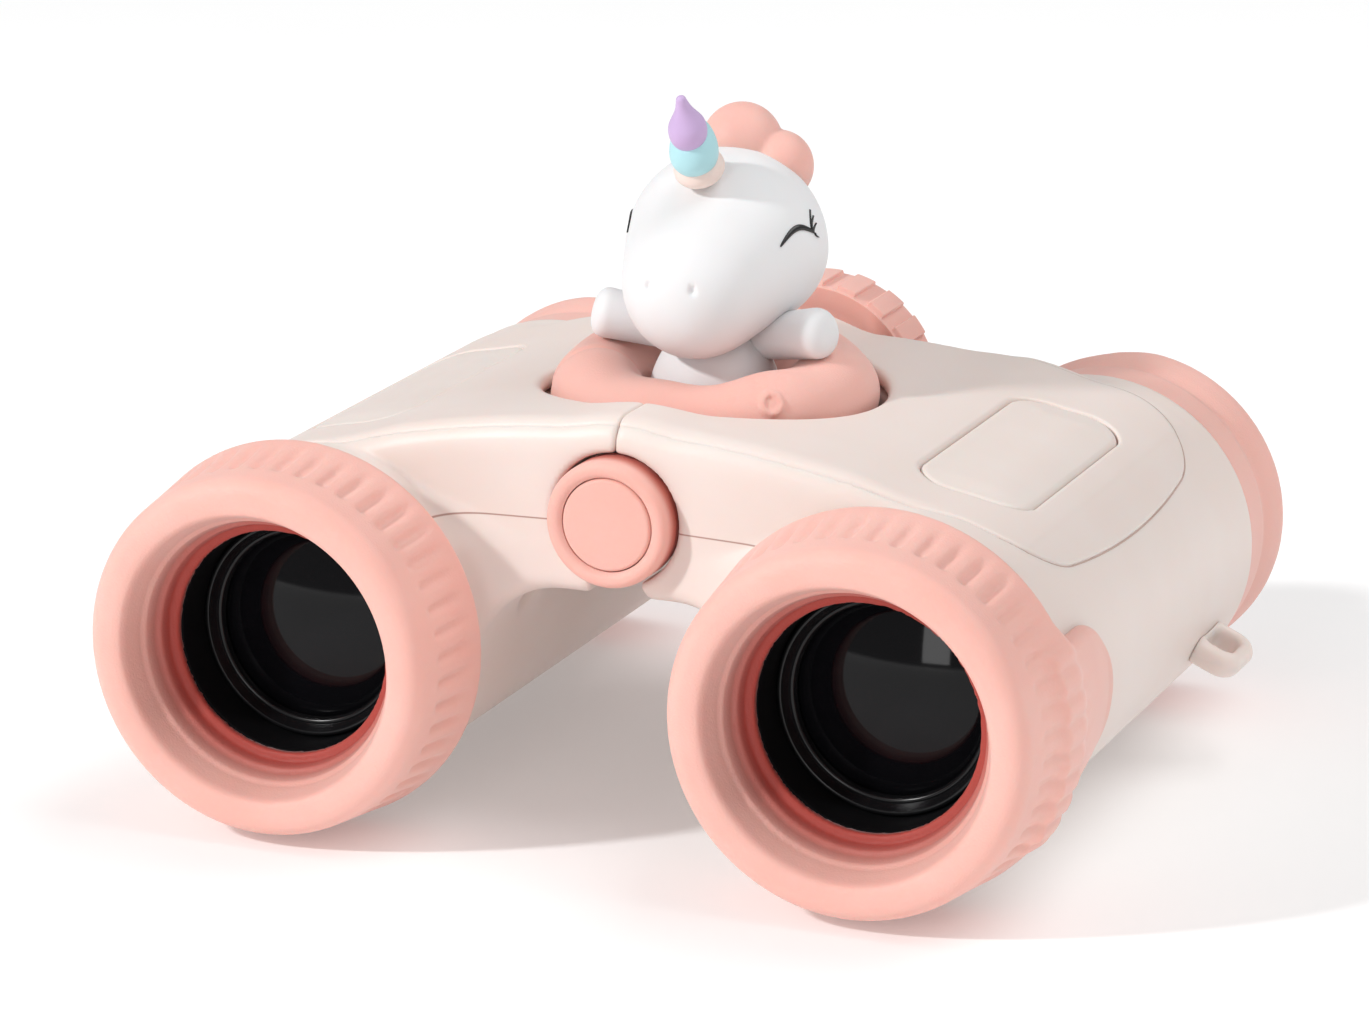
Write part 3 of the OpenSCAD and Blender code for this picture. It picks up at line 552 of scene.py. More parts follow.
@dataclass(frozen=True)
class SeamedPlastic(Plastic):
    """The body plastic with the parting line that runs across the front face of the bridge.

    Attributes:
        seam_z: height of the line at the hinge, in mm.
        seam_slope: how much it drops per mm outwards.
        seam_half: half its width, in mm.
        seam_back: y at which it starts to fade and at which it has ended, in mm.
        seam_end: x at which it starts to fade and at which it has ended, in mm.
        shade: colour in the line, linear.
    """

    seam_z: float = 14.2
    seam_slope: float = 0.03
    seam_half: float = 0.085
    seam_back: Pair = (20.9, 21.2)
    seam_end: Pair = (24.0, 26.0)
    shade: Triple = (0.44, 0.27, 0.23)

    def paint(self, made: Shader, wander: Value) -> Value:
        """The colour over the surface, darker in the line."""
        x, y, z = made.axes()
        away = abs(z + abs(x) * self.seam_slope - in_part(self.seam_z, 2))
        front = y.step(in_part(self.seam_back[1], 1), in_part(self.seam_back[0], 1))
        inner = abs(x).step(self.seam_end[1] * MM, self.seam_end[0] * MM)
        line = away.step(self.seam_half * 1.6 * MM, self.seam_half * 0.4 * MM) * front * inner
        return made.mix(line, super().paint(made, wander), self.shade)


@dataclass(frozen=True)
class PaintedShadePlastic(Plastic):
    """The rings' and the hinge cap's soft plastic, with a deep red painted shade towards the back.

    Attributes:
        axis: x of the mouth's axis, in mm.
        axis_z: z of the mouth's axis, in mm.
        mouth_r: radius of the mouth, in mm.
        mouth_y: y at which the painted shade starts and at which it is darkest, in mm.
        painted_shade: the colour of the painted shade deep in the mouth, linear.
    """

    axis: float = AXIS_X
    axis_z: float = 0.0
    mouth_r: float = 16.6
    mouth_y: Pair = (1.6, 6.6)
    painted_shade: Triple = (0.40, 0.055, 0.04)

    def paint(self, made: Shader, wander: Value) -> Value:
        """The colour over the surface, with painted shade deep in the mouth."""
        x, y, z = made.axes()
        across, rise = abs(x) - self.axis * MM, z - in_part(self.axis_z, 2)
        wide, narrow = ((radius * MM) ** 2 for radius in (self.mouth_r, self.mouth_r - 1.0))
        # Painted shade: a deep red mixed in within the mouth, darkest towards the back where shade falls.
        inside = (across * across + rise * rise).step(wide, narrow)
        start, end = (in_part(at, 1) for at in self.mouth_y)
        return made.mix(inside * y.step(start, end), super().paint(made, wander), self.painted_shade)


@dataclass(frozen=True)
class Gloss:
    """A dark polished surface: black plastic, coated glass or metal.

    Attributes:
        name: the material's name.
        colour: its colour, linear.
        tint: the colour it wanders to, linear.
        roughness: mean roughness.
        metallic: 1 for bare metal.
        level: strength of its reflection.
        cloud: width of the wear, in mm.
    """

    name: str
    colour: Triple
    tint: Triple
    roughness: float
    metallic: float = 0.0
    level: float = 0.5
    cloud: float = 2.5

    def material(self) -> bpy.types.Material:
        """Makes the material.

        Returns:
            The material, with faint wear in its colour and roughness.
        """
        made = Shader(self.name)
        wear = made.noise(self.cloud, 4.0)
        made.wire("Base Color", made.mix(wear, self.colour, self.tint))
        made.wire("Roughness", wear * 0.06 + (self.roughness - 0.03))
        made.fix(Metallic=self.metallic, Specular_IOR_Level=self.level)
        return made.material


SATIN = {"colour": (0.815, 0.71, 0.663), "tint": (0.805, 0.69, 0.638),
         "glow": 0.22, "reach": (1.0, 0.32, 0.22), "depth": 2.4}
SOFT = {"colour": (0.85, 0.485, 0.42), "tint": (0.83, 0.45, 0.385), "roughness": 0.55, "grain": 0.28,
        "relief": 0.036, "glow": 0.3, "reach": (1.0, 0.2, 0.13), "depth": 1.8, "sheen": 0.15}
COAL = {"colour": (0.004, 0.004, 0.0045), "tint": (0.007, 0.007, 0.008)}


class Finish(Enum):
    """The finishes, each with the record's slot and its recipe; a slot's plain finish comes first."""

    BODY = Slot.BODY, Plastic("body_satin", **SATIN)
    SHELL = Slot.BODY, SeamedPlastic("body_satin_seamed", **SATIN)
    SEAM = Slot.BODY, Plastic("seam_shade", (0.56, 0.40, 0.35), (0.50, 0.35, 0.30), 0.6)
    CORAL = Slot.CORAL, Plastic("coral_soft", **SOFT)
    # RING and CAP carry painted shade: deep red down the rings' mouths and on the back of the hinge cap.
    RING = Slot.CORAL, PaintedShadePlastic("coral_soft_mouth", **SOFT)
    CAP = Slot.CORAL, PaintedShadePlastic("coral_soft_cap", **SOFT, axis=0.0, axis_z=HINGE_Z, mouth_r=10.0,
                                  mouth_y=(17.8, 20.0), painted_shade=(0.60, 0.14, 0.10))
    BLACK = Slot.BLACK, Gloss("black_gloss", **COAL, roughness=0.5, level=0.08)
    BEZEL = Slot.BLACK, Gloss("black_bezel", **COAL, roughness=0.24, level=0.3)
    GLASS = Slot.GLASS, Gloss("coated_glass", (0.003, 0.003, 0.004), (0.005, 0.005, 0.006), 0.06, level=0.2)
    STEEL = Slot.STEEL, Gloss("plain_steel", (0.52, 0.52, 0.53), (0.44, 0.44, 0.45), 0.30, 1.0)
    WHITE = Slot.WHITE, Plastic("figure_vinyl", (0.82, 0.82, 0.83), (0.78, 0.775, 0.78), 0.58, glow=0.15)
    INK = Slot.INK, Gloss("eye_ink", (0.006, 0.006, 0.007), (0.012, 0.011, 0.012), 0.30)
    CREAM = Slot.CREAM, Plastic("horn_cream_vinyl", (0.83, 0.69, 0.63), (0.81, 0.66, 0.60), 0.45, glow=0.1)
    TURQUOISE = Slot.TURQUOISE, Plastic("horn_turquoise_vinyl", (0.48, 0.75, 0.79), (0.43, 0.71, 0.76), 0.45)
    LILAC = Slot.LILAC, Plastic("horn_lilac_vinyl", (0.60, 0.44, 0.69), (0.56, 0.40, 0.66), 0.45)

    def __init__(self, slot: Slot, recipe: Plastic | Gloss) -> None:
        """Keeps the slot and the recipe."""
        self.slot, self.recipe = slot, recipe

    @cached_property
    def material(self) -> bpy.types.Material:
        """The material, made when it is first asked for."""
        return self.recipe.material()

    @classmethod
    def plain(cls, slot: Slot) -> Finish:
        """The plain finish of a slot."""
        return next(finish for finish in cls if finish.slot is slot)


class Bench:
    """Makes, places and hands over the pieces."""

    @staticmethod
    def mesh(name: str, points: Points, faces: Array | list[list[int]],
             side: Side = Side.RIGHT) -> bpy.types.Object:
        """Makes an object of points in the optical frame.

        Args:
            name: the piece's name.
            points: the points, in mm.
            faces: point numbers of the faces.
            side: LEFT for the mirror image across the centre plane.

        Returns:
            The new object, shaded smooth.
        """
        placed = (points * np.array((side.value, 1.0, 1.0)) + np.array(TO_PART)) * MM
        listed = faces.tolist() if isinstance(faces, np.ndarray) else faces
        data = bpy.data.meshes.new(name)
        data.from_pydata(placed.tolist(), [], [face[::side.value] for face in listed])
        data.polygons.foreach_set("use_smooth", np.ones(len(data.polygons), dtype=bool))
        data.update()
        made = bpy.data.objects.new(name, data)
        bpy.context.collection.objects.link(made)
        return made

    @staticmethod
    def merge(distance: float) -> None:
        """Merges the held object's points that lie closer than a distance in metres; in edit mode."""
        bpy.ops.mesh.select_all(action="SELECT")
        bpy.ops.mesh.remove_doubles(threshold=distance)

    @classmethod
    def lathe(cls, name: str, profile: Profile, centre: Pair) -> bpy.types.Object:
        """Turns a profile about an axis along Y.

        Args:
            name: the piece's name.
            profile: radius and y of each point, in mm; it is closed unless it starts on the axis.
            centre: x and z of the axis, in mm.

        Returns:
            The turned object.
        """
        bpy.ops.object.select_all(action="DESELECT")
        bpy.ops.mesh.primitive_plane_add(size=MM, location=(0, 0, 0))
        made = bpy.context.object
        made.name = made.data.name = name
        bpy.ops.object.mode_set(mode="EDIT")
        bpy.ops.mesh.select_all(action="SELECT")
        bpy.ops.mesh.merge(type="CENTER")
        bpy.ops.transform.translate(value=place(centre[0] + profile[0][0], profile[0][1], centre[1]))
        path = [*profile, profile[0]] if profile[0][0] else profile
        for (r0, y0), (r1, y1) in zip(path, path[1:], strict=False):
            step = ((r1 - r0) * MM, (y1 - y0) * MM, 0.0)
            bpy.ops.mesh.extrude_region_move(TRANSFORM_OT_translate={"value": step})
        bpy.ops.mesh.select_all(action="SELECT")
        axis = place(centre[0], 0.0, centre[1])
        bpy.ops.mesh.spin(steps=128, angle=2 * math.pi, center=axis, axis=(0, 1, 0))
        cls.merge(0.001 * MM)
        bpy.ops.mesh.normals_make_consistent(inside=False)
        bpy.ops.object.mode_set(mode="OBJECT")
        bpy.ops.object.shade_smooth_by_angle(angle=math.radians(32))
        return made

    @classmethod
    def round_edges(cls, made: bpy.types.Object, width: float, angle: float) -> None:
        """Rounds an object's sharp edges for good.

        Args:
            made: the object, held and in object mode.
            width: width of the rounding, in mm.
            angle: the least angle of an edge that is rounded, in degrees.
        """
        worn = made.modifiers.new("rounding", "BEVEL")
        worn.width, worn.segments = width * MM, 3
        worn.limit_method, worn.angle_limit = "ANGLE", math.radians(angle)
        bpy.ops.object.modifier_apply(modifier=worn.name)
        bpy.ops.object.mode_set(mode="EDIT")
        cls.merge(0.002 * MM)
        bpy.ops.object.mode_set(mode="OBJECT")
        bpy.ops.object.shade_smooth_by_angle(angle=math.radians(40))

    @staticmethod
    def hand_over(made: bpy.types.Object, body: str, finish: Finish, *nodes: str) -> None:
        """Dresses a piece and sets it on its body in place of CAD nodes.

        Args:
            made: the piece, already in place.
            body: the CAD body it rides on.
            finish: its finish.
            nodes: the CAD nodes it stands for.
        """
        made.data.materials.clear()
        made.data.materials.append(finish.material)
        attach(made, body)
        if nodes:
            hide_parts(*nodes)
        LOG.info("%s: %d faces on %s", made.name, len(made.data.polygons), body)

    @classmethod
    def single(cls, name: str, cast: Cast, finish: Finish, node: str) -> None:
        """Makes a piece of the centre body; arguments as for half."""
        cls.hand_over(cls.mesh(name, *cast), "centre", finish, node)

    @classmethod
    def half(cls, side: Side, name: str, cast: Cast, finish: Finish, *nodes: str, body: str = "") -> None:
        """Makes a piece of one side.

        Args:
            side: the side; on the left the piece is mirrored.
            name: the piece's name without its side.
            cast: points and faces of the right one.
            finish: its finish.
            nodes: the CAD nodes it stands for, without their side.
            body: the CAD body it rides on, where it isn't its own half.
        """
        made = cls.mesh(side.node(name), *cast, side)
        cls.hand_over(made, body or side.node("half"), finish, *(side.node(node) for node in nodes))

    @classmethod
    def pair(cls, name: str, cast: Cast, finish: Finish, node: str, body: str = "") -> None:
        """Makes a piece on the right and its mirror image on the left; arguments as for half."""
        for side in Side:
            cls.half(side, name, cast, finish, node, body=body)


@dataclass
class HalfBody:
    """One half of the body: lower shell, cover, grip pad and seam line, as fields of the right half.

    Attributes:
        barrel_y: ends of the barrel.
        bridge_y: ends of the bridge at the hinge.
        bridge_x: where the bridge ends inside the barrel.
        edges: rounding of the bridge's front, rear and lower edges.
        ends: rounding of the bridge's outer end and of the barrel's rear end.
        slant: how far the rear face goes back from hinge to barrel.
        slant_x: where that starts and where it ends.
        slant_grade: how fast the distance from that face grows along Y.
        crown_z: height of the crown at the front.
        crown_r: radius of the crown across.
        shoulder_x: where the crown starts to turn into the barrel and where it has.
        fall: slope of the crown towards the rear, in degrees.
        fall_x: where the slope starts, seen from the barrel, and where it is full.
        floor_z: underside of the bridge.
        fillet: fillet from bridge to barrel on top, below, and below at the front.
        fillet_from: x, y and z at which it starts to widen.
        fillet_to: x, y and z at which it is widest.
        hub: radius of the hump over the hinge and its fillet to the crown.
        parting: half the gap between the halves, above the hinge and at its height below.
        opening: angle of the notch below the hinge, in degrees.
        channel: radius and rear end of the channel for the hinge.
        recess: y of the swim ring's middle, radius and floor of its recess.
        rims: rounding of the edges at the notch, the channel and the recess.
        knuckle_r: radius of a hinge knuckle.
        hole_r: radius of the hole in a front and in a rear knuckle.
        web: half height and reach of the web that carries a knuckle, and its drop below the hinge.
        hollow: radius, front and rear end of the inside of the barrel.
        throat_r: radius of its two ends.
        arm_slot: middle and half size of the slot for the focus arm.
        screw_x: place across of the case screws' bores.
        screws_y: their places along.
        screw: their radius and top.
        raise_by: how far the cover stands proud.
        thick: thickness of the cover.
        gap: how far the cover's pocket reaches past its outline.
        pocket: room below the cover in that pocket, and the pocket's lowest edge.
        lips: rounding of that pocket's edge, of the cover's rim and of the pad's pocket.
        cover_z: lowest edge of the cover.
        front_edge: y of the cover's front edge.
        strip: width of the strip behind the cover.
        corners: radius of the cover's front and rear outer corners.
        flank: reach of the cover across, along its surface.
        middle_y: y of the middle of its flank edge.
        bow: how far that edge draws in for each square mm of distance from its middle.
        sweep: how far its front edge goes back on the barrel.
        sweep_x: where that starts across and where it is full.
        sweep_y: where it fades in along the cover, towards the front.
        rear_edge: y of the cover's rear edge on the barrel.
        wrap_r: radius at which lengths round the barrel are measured.
        seam_w: width of the line round the cover.
        pad_low: low corner of the pad in plan.
        pad_high: high corner of the pad in plan.
        pad_corner: corner radius of the pad.
        pad_depth: depth of the pad's pocket.
        pad_gap: room round the pad and below it in its pocket.
        pad_edges: rounding of its upper and its lower edge.
        pad_sink: how far its rim lies below the cover.
        pad_swell: how far the pad swells in its middle, and how far from its edge it does so.
    """

    barrel_y: Pair = (13.65, 85.0)
    bridge_y: Pair = (20.0, 79.0)
    bridge_x: float = 47.0
    edges: Triple = (3.6, 2.4, 2.4)
    ends: Pair = (0.5, 0.7)
    slant: float = 4.0
    slant_x: Pair = (9.2, 27.0)
    slant_grade: float = 0.98
    crown_z: float = 25.3
    crown_r: float = 118.0
    shoulder_x: Pair = (27.0, 46.0)
    fall: float = 1.5
    fall_x: Pair = (33.0, 19.0)
    floor_z: float = 5.5
    fillet: Triple = (0.2, 4.0, 9.5)
    fillet_from: Triple = (33.0, 40.0, 17.5)
    fillet_to: Triple = (26.0, 30.0, 10.0)
    hub: Pair = (11.0, 2.0)
    parting: Pair = (0.04, 0.1)
    opening: float = 21.6
    channel: Pair = (7.6, 77.2)
    recess: Triple = (49.2, 19.9, 17.3)
    rims: Triple = (0.45, 0.6, 1.3)
    knuckle_r: float = 5.5
    hole_r: Pair = (2.3, 4.3)
    web: Triple = (3.0, 12.0, 1.0)
    hollow: Triple = (17.6, 15.45, 83.2)
    throat_r: float = 14.5
    arm_slot: tuple[Triple, Triple] = ((16.0, 42.35, 12.0), (10.0, 4.8, 2.4))
    screw_x: float = 12.5
    screws_y: Pair = (27.4, 71.6)
    screw: Pair = (2.5, 7.2)
    raise_by: float = 0.18
    thick: float = 2.2
    gap: float = -0.6
    pocket: Pair = (0.2, 9.0)
    lips: Triple = (0.7, 0.45, 0.5)
    cover_z: float = 10.6
    front_edge: float = 21.1
    strip: float = 1.7
    corners: Pair = (8.5, 11.5)
    flank: float = 53.9
    middle_y: float = 51.0
    bow: float = 0.00384
    sweep: float = 0.9
    sweep_x: Pair = (24.0, 47.0)
    sweep_y: Pair = (46.0, 26.0)
    rear_edge: float = 80.3
    wrap_r: float = BARREL_R + 0.3
    seam_w: float = 0.22
    pad_low: Pair = (31.0, 30.0)
    pad_high: Pair = (44.0, 67.4)
    pad_corner: float = 4.5
    pad_depth: float = 0.9
    pad_gap: Pair = (0.14, 0.05)
    pad_edges: Pair = (0.7, 0.2)
    pad_sink: float = 0.06
    pad_swell: Pair = (0.30, 5.0)

    def rear(self, p: Points) -> Array:
        """Distance behind the slanted rear face of the bridge."""
        back = self.bridge_y[1] + np.interp(p[:, 0], self.slant_x, (0.0, self.slant))
        return (p[:, 1] - back) * self.slant_grade

    def skin(self, p: Points, proud: float = 0.0) -> Array:
        """The outside of the half without its notch and recess.

        Args:
            p: the points.
            proud: how far the crown and the barrel are lifted.

        Returns:
            The field's values.
        """
        x, y, z = p.T
        tilt = math.radians(self.fall)
        drop = (y - self.bridge_y[0]) * math.sin(tilt) * ramp(x, *self.fall_x)
        lift = (z - self.crown_z + self.crown_r) * math.cos(tilt) + drop
        crown = np.hypot(x, lift) - self.crown_r - proud
        hub = np.hypot(x, z - HINGE_Z) - self.hub[0] - proud
        tube = np.hypot(x - AXIS_X, z) - BARREL_R - proud
        side = ramp(x, *self.shoulder_x)
        front, rear, under = self.edges
        bridge = smooth_min(crown * (1 - side) + tube * side, hub, self.hub[1])
        bridge = smooth_max(bridge, self.bridge_y[0] - y, front)
        bridge = smooth_max(bridge, self.rear(p), rear)
        bridge = smooth_max(smooth_max(bridge, self.floor_z - z, under), x - self.bridge_x, self.ends[0])
        barrel = smooth_max(np.maximum(tube, self.barrel_y[0] - y), y - self.barrel_y[1], self.ends[1])
        wide_x, wide_y, wide_z = map(ramp, (x, y, z), self.fillet_from, self.fillet_to)
        top, below, ahead = self.fillet
        return smooth_min(barrel, bridge, top + wide_x * wide_z * (below + (ahead - below) * wide_y))

    def plan(self, p: Points) -> Array:
        """Distance outside the cover's outline, measured along the surface.

        Args:
            p: the points.

        Returns:
            The distances, below 0 inside.
        """
        x, y, z = p.T
        across = np.where(x < AXIS_X, x, AXIS_X + self.wrap_r * np.arctan2(x - AXIS_X, z + TINY))
        bowed = across + self.bow * np.square(y - self.middle_y)
        below, outside, past_hinge = z < -2.0, self.flank + 20.0, -60.0
        across = np.where(below, outside, bowed)
        along = y - self.sweep * ramp(across, *self.sweep_x) * ramp(y, *self.sweep_y)
        corner = np.where(y < self.middle_y, *self.corners)
        low, high = (past_hinge, self.front_edge), (self.flank, self.rear_edge)
        body = rounded_plan(across, along, low, high, corner)
        return np.maximum(body, self.rear(p) + self.strip)

    def pad_plan(self, p: Points) -> Array:
        """Distance outside the pad's outline."""
        return rounded_plan(p[:, 0], p[:, 1], self.pad_low, self.pad_high, self.pad_corner)

    def clearances(self, p: Points, body: Array) -> Array:
        """Cuts the hinge's notch and channel and the swim ring's recess.

        Args:
            p: the points.
            body: the field that is cut.

        Returns:
            The cut field's values.
        """
        x, y, z = p.T
        turn = math.radians(self.opening)
        notch = (self.parting[1] + (HINGE_Z - z) * math.tan(turn) - x) * math.cos(turn)
        body = smooth_max(body, np.maximum(self.parting[0] - x, notch), self.rims[0])
        channel = np.maximum(np.hypot(x, z - HINGE_Z) - self.channel[0], y - self.channel[1])
        body = smooth_max(body, -channel, self.rims[1])
        middle, radius, floor = self.recess
        well = np.maximum(np.hypot(x, y - middle) - radius, floor - z)
        return smooth_max(body, -well, self.rims[2])

    def shell(self, p: Points, knuckles: Sequence[Pair]) -> Array:
        """The lower shell.

        Args:
            p: the points.
            knuckles: the ends along Y of this half's front and rear hinge knuckle.

        Returns:
            The field's values.
        """
        x, y, z = p.T
        skin = self.skin(p)
        room, lowest = self.pocket
        pocket = common(self.plan(p) - self.gap, -skin - self.thick - room, lowest - z)
        body = self.clearances(p, smooth_max(skin, -pocket, self.lips[0]))
        bore = np.hypot(x - AXIS_X, z)
        radius, front, rear = self.hollow
        hollow = common(bore - radius, front - y, y - rear)
        body = common(body, -np.minimum(hollow, bore - self.throat_r), -box(p, *self.arm_slot))
        for at in self.screws_y:
            screw = np.maximum(np.hypot(x - self.screw_x, y - at) - self.screw[0], z - self.screw[1])
            body = np.maximum(body, -screw)
        reach = np.hypot(x, z - HINGE_Z)
        half, length, drop = self.web
        web = common(np.abs(z - HINGE_Z + drop) - half, -x, x - length)
        for (low, high), hole in zip(knuckles, self.hole_r, strict=True):
            knuckle = common(np.minimum(reach - self.knuckle_r, web), low - y, y - high, hole - reach)
            body = np.minimum(body, knuckle)
        return body

    def cover(self, p: Points) -> Array:
        """The upper cover, a curved plate with a pocket for the pad.

        Args:
            p: the points.

        Returns:
            The field's values.
        """
        skin = self.skin(p, self.raise_by)
        outer = smooth_max(skin, self.plan(p), self.lips[1])
        plate = common(outer, -skin - self.thick, self.cover_z - p[:, 2])
        pocket = np.maximum(self.pad_plan(p) - self.pad_gap[0], -skin - self.pad_depth)
        return self.clearances(p, smooth_max(plate, -pocket, self.lips[2]))

    def pad(self, p: Points) -> Array:
        """The grip pad, a low pillow in the cover's pocket.

        Args:
            p: the points.

        Returns:
            The field's values.
        """
        edge, skin = self.pad_plan(p), self.skin(p, self.raise_by)
        swell, inset = self.pad_swell
        top = skin - swell * ramp(edge, 0.0, -inset) + self.pad_sink
        upper, lower = self.pad_edges
        return smooth_max(smooth_max(top, edge, upper), -skin - self.pad_depth + self.pad_gap[1], lower)

    def on_skin(self, across: Array, along: Array) -> Points:
        """Points on the shell's skin.

        Args:
            across: distances from the hinge, round the barrel beyond its axis.
            along: their y.

        Returns:
            The points.
        """
        turn = np.maximum(across - AXIS_X, 0.0) / self.wrap_r
        foot = np.stack([np.minimum(across, AXIS_X), along, 0.0 * along], axis=1)
        way = np.stack([np.sin(turn), 0.0 * turn, np.cos(turn)], axis=1)
        low, high = 12.0, 30.0
        height = reach_of(lambda out: self.skin(foot + out[:, None] * way) < 0, len(along), low, high)
        return foot + height[:, None] * way

    def seam(self) -> Cast:
        """The fine dark line at the foot of the cover's edge, from its front outer corner to the hinge.

        Returns:
            The points in mm and the faces.
        """
        count, fade, thin, probe = 640, 90, 0.15, 0.05
        middle_x, middle_y, furthest = 30.0, 50.0, 48.0
        first, last = -62.0, 136.9
        angle = np.radians(np.linspace(first, last, count))

        def spot(out: Array) -> Points:
            """Points of the skin at a distance from the middle of the cover."""
            return self.on_skin(middle_x + out * np.cos(angle), middle_y + out * np.sin(angle))

        line = spot(reach_of(lambda out: self.plan(spot(out)) < self.seam_w / 3, count, 0.0, furthest))
        steps = probe * np.eye(3)
        up = np.stack([self.skin(line + step) - self.skin(line - step) for step in steps], axis=1)
        up /= np.linalg.norm(up, axis=1)[:, None]
        way = np.gradient(line, axis=0)
        side = np.cross(way / np.linalg.norm(way, axis=1)[:, None], up)
        width = self.seam_w * (thin + (1.0 - thin) * ramp(np.arange(count), 0, fade))[:, None]
        section = ((0.5, -0.5), (0.4, 0.15), (-0.4, 0.15), (-0.5, -0.5))
        return ribbon([line + (side * u + up * v) * width for u, v in section])

    def build(self) -> None:
        """Makes both halves."""
        knuckles = {Side.LEFT: ((26.35, 30.5), (72.9, 77.05)), Side.RIGHT: ((22.05, 26.2), (68.6, 72.75))}
        wide = Mould((-6.4, 13.0, -20.2), (55.4, 86.0, 27.4), 0.52)
        for side, ends in knuckles.items():
            shell = wide.cast(lambda p: self.shell(p, ends))
            Bench.half(side, "shell_form", shell, Finish.SHELL, "lower_shell")
        plate = Mould((-1.0, 19.0, 10.0), (54.5, 83.0, 27.6), 0.29).cast(self.cover)
        pad = Mould((30.0, 29.0, 14.0), (45.0, 68.6, 24.0), 0.3).cast(self.pad)
        line = self.seam()
        for side in Side:
            Bench.half(side, "cover_form", plate, Finish.BODY, "cover")
            Bench.half(side, "pad_form", pad, Finish.BODY, "grip_pad")
            Bench.half(side, "seam_line", line, Finish.SEAM)


@dataclass
class ObjectiveRing:
    """The soft ring round an objective, with ribs, a stepped mouth and a leaf on the outer flank.

    Attributes:
        back_r: outer radius at the back.
        length: y of the back edge.
        seat_r: radius that fits over the barrel.
        ribs: how many ribs go round.
        rib_depth: depth of the valleys between them, and how much of it is lost on the leaf.
        rib_r: radius at which the valleys start and where they are full.
        rib_front: where they start along Y and where they are full.
        rib_back: where they have ended and where they start to end, away from the leaf.
        rib_run: how much further back that is on the leaf.
        leaf_turn: angle of the leaf's middle, in radians.
        leaf_wide: angles from there at which the leaf starts and at which it is full, in radians.
        leaf_y: ends of the leaf's outline.
        leaf_half: half the leaf's height.
        leaf_z: height of the leaf's middle line.
        leaf_rise: how far the leaf stands off the barrel at the ring.
        leaf_tip: share of that left at the tip, and how it falls to there, as an exponent.
        leaf_round: corner radius, edge rounding and fillet to the ring of the leaf.
    """

    back_r: float = 22.1
    length: float = 13.6
    seat_r: float = 19.5
    ribs: int = 48
    rib_depth: Pair = (0.52, 0.35)
    rib_r: Pair = (17.5, 19.0)
    rib_front: Pair = (3.4, 4.8)
    rib_back: Pair = (12.4, 7.5)
    rib_run: Pair = (8.0, 4.5)
    leaf_turn: float = -0.06
    leaf_wide: Pair = (0.62, 0.30)
    leaf_y: Pair = (2.0, 31.1)
    leaf_half: float = 10.0
    leaf_z: float = -1.8
    leaf_rise: float = 2.5
    leaf_tip: Pair = (0.16, 0.8)
    leaf_round: Triple = (9.0, 1.6, 3.0)

    def profile(self) -> Profile:
        """The ring's section: lip, steps of the mouth, seat and back edge.

        Returns:
            Radius and y of its corners.
        """
        lip = bend((18.5, 1.6), 2.2, 0, -90, 8)
        back = bend((self.back_r - 1.5, self.length - 1.5), 1.5, 90, 10, 6)
        return [*lip, (17.3, -0.5), (16.6, -0.2), (16.3, 0.3), (15.5, 2.9), (15.1, 3.1), (14.7, 4.9),
                (14.2, 5.1), (13.9, 6.6), (13.0, 6.8), (12.9, 7.7), (14.45, 7.75), (14.45, 13.4),
                (self.seat_r, 13.45), (self.seat_r, self.length), *back]

    def core(self) -> Profile:
        """The section of the space that the barrel and the tube take: radius and y of its corners."""
        seat, far = self.seat_r - 0.05, 40.0
        return [(-1.0, 7.75), (14.45, 7.75), (14.45, 13.4), (seat, 13.45), (seat, far), (-1.0, far)]

    def shape(self, p: Points) -> Array:
        """The ring with its leaf.

        Args:
            p: the points.

        Returns:
            The field's values.
        """
        x, y, z = p[:, 0] - AXIS_X, p[:, 1], p[:, 2]
        reach, turn = np.hypot(x, z), np.arctan2(z, x)
        flank = ramp(np.abs(turn - self.leaf_turn), *self.leaf_wide)
        depth, lost = self.rib_depth
        ends = (back + run * flank for back, run in zip(self.rib_back, self.rib_run, strict=True))
        fade = ramp(y, *self.rib_front) * ramp(y, *ends) * (1.0 - lost * flank)
        valley = 0.5 - 0.5 * np.cos(self.ribs * turn)
        carved = reach + depth * fade * valley ** 2 * ramp(reach, *self.rib_r)
        ring = outline(carved, y, self.profile())
        along = BARREL_R * turn - self.leaf_z
        start, end = self.leaf_y
        corner, rim, fillet = self.leaf_round
        edge = rounded_plan(y, along, (start, -self.leaf_half), (end, self.leaf_half), corner)
        least, fall = self.leaf_tip
        rise = self.leaf_rise * np.clip((end - y) / (end - self.length), least, 1.0) ** fall
        grade, overlap, hidden_y = 0.98, 0.02, 9.0
        leaf = smooth_max((carved - self.seat_r - rise) * grade, edge, rim)
        leaf = np.maximum(smooth_max(leaf, self.seat_r - overlap - reach, 0.2), hidden_y - y)
        return np.maximum(smooth_min(ring, leaf, fillet), -outline(reach, y, self.core()))

    def build(self) -> None:
        """Makes both rings."""
        cast = Mould((12.0, -1.4, -23.0), (58.3, 32.0, 23.0), 0.38).cast(self.shape)
        # The rings' finish paints shade in deep red down the mouth.
        Bench.pair("ring_form", cast, Finish.RING, "objective_ring")


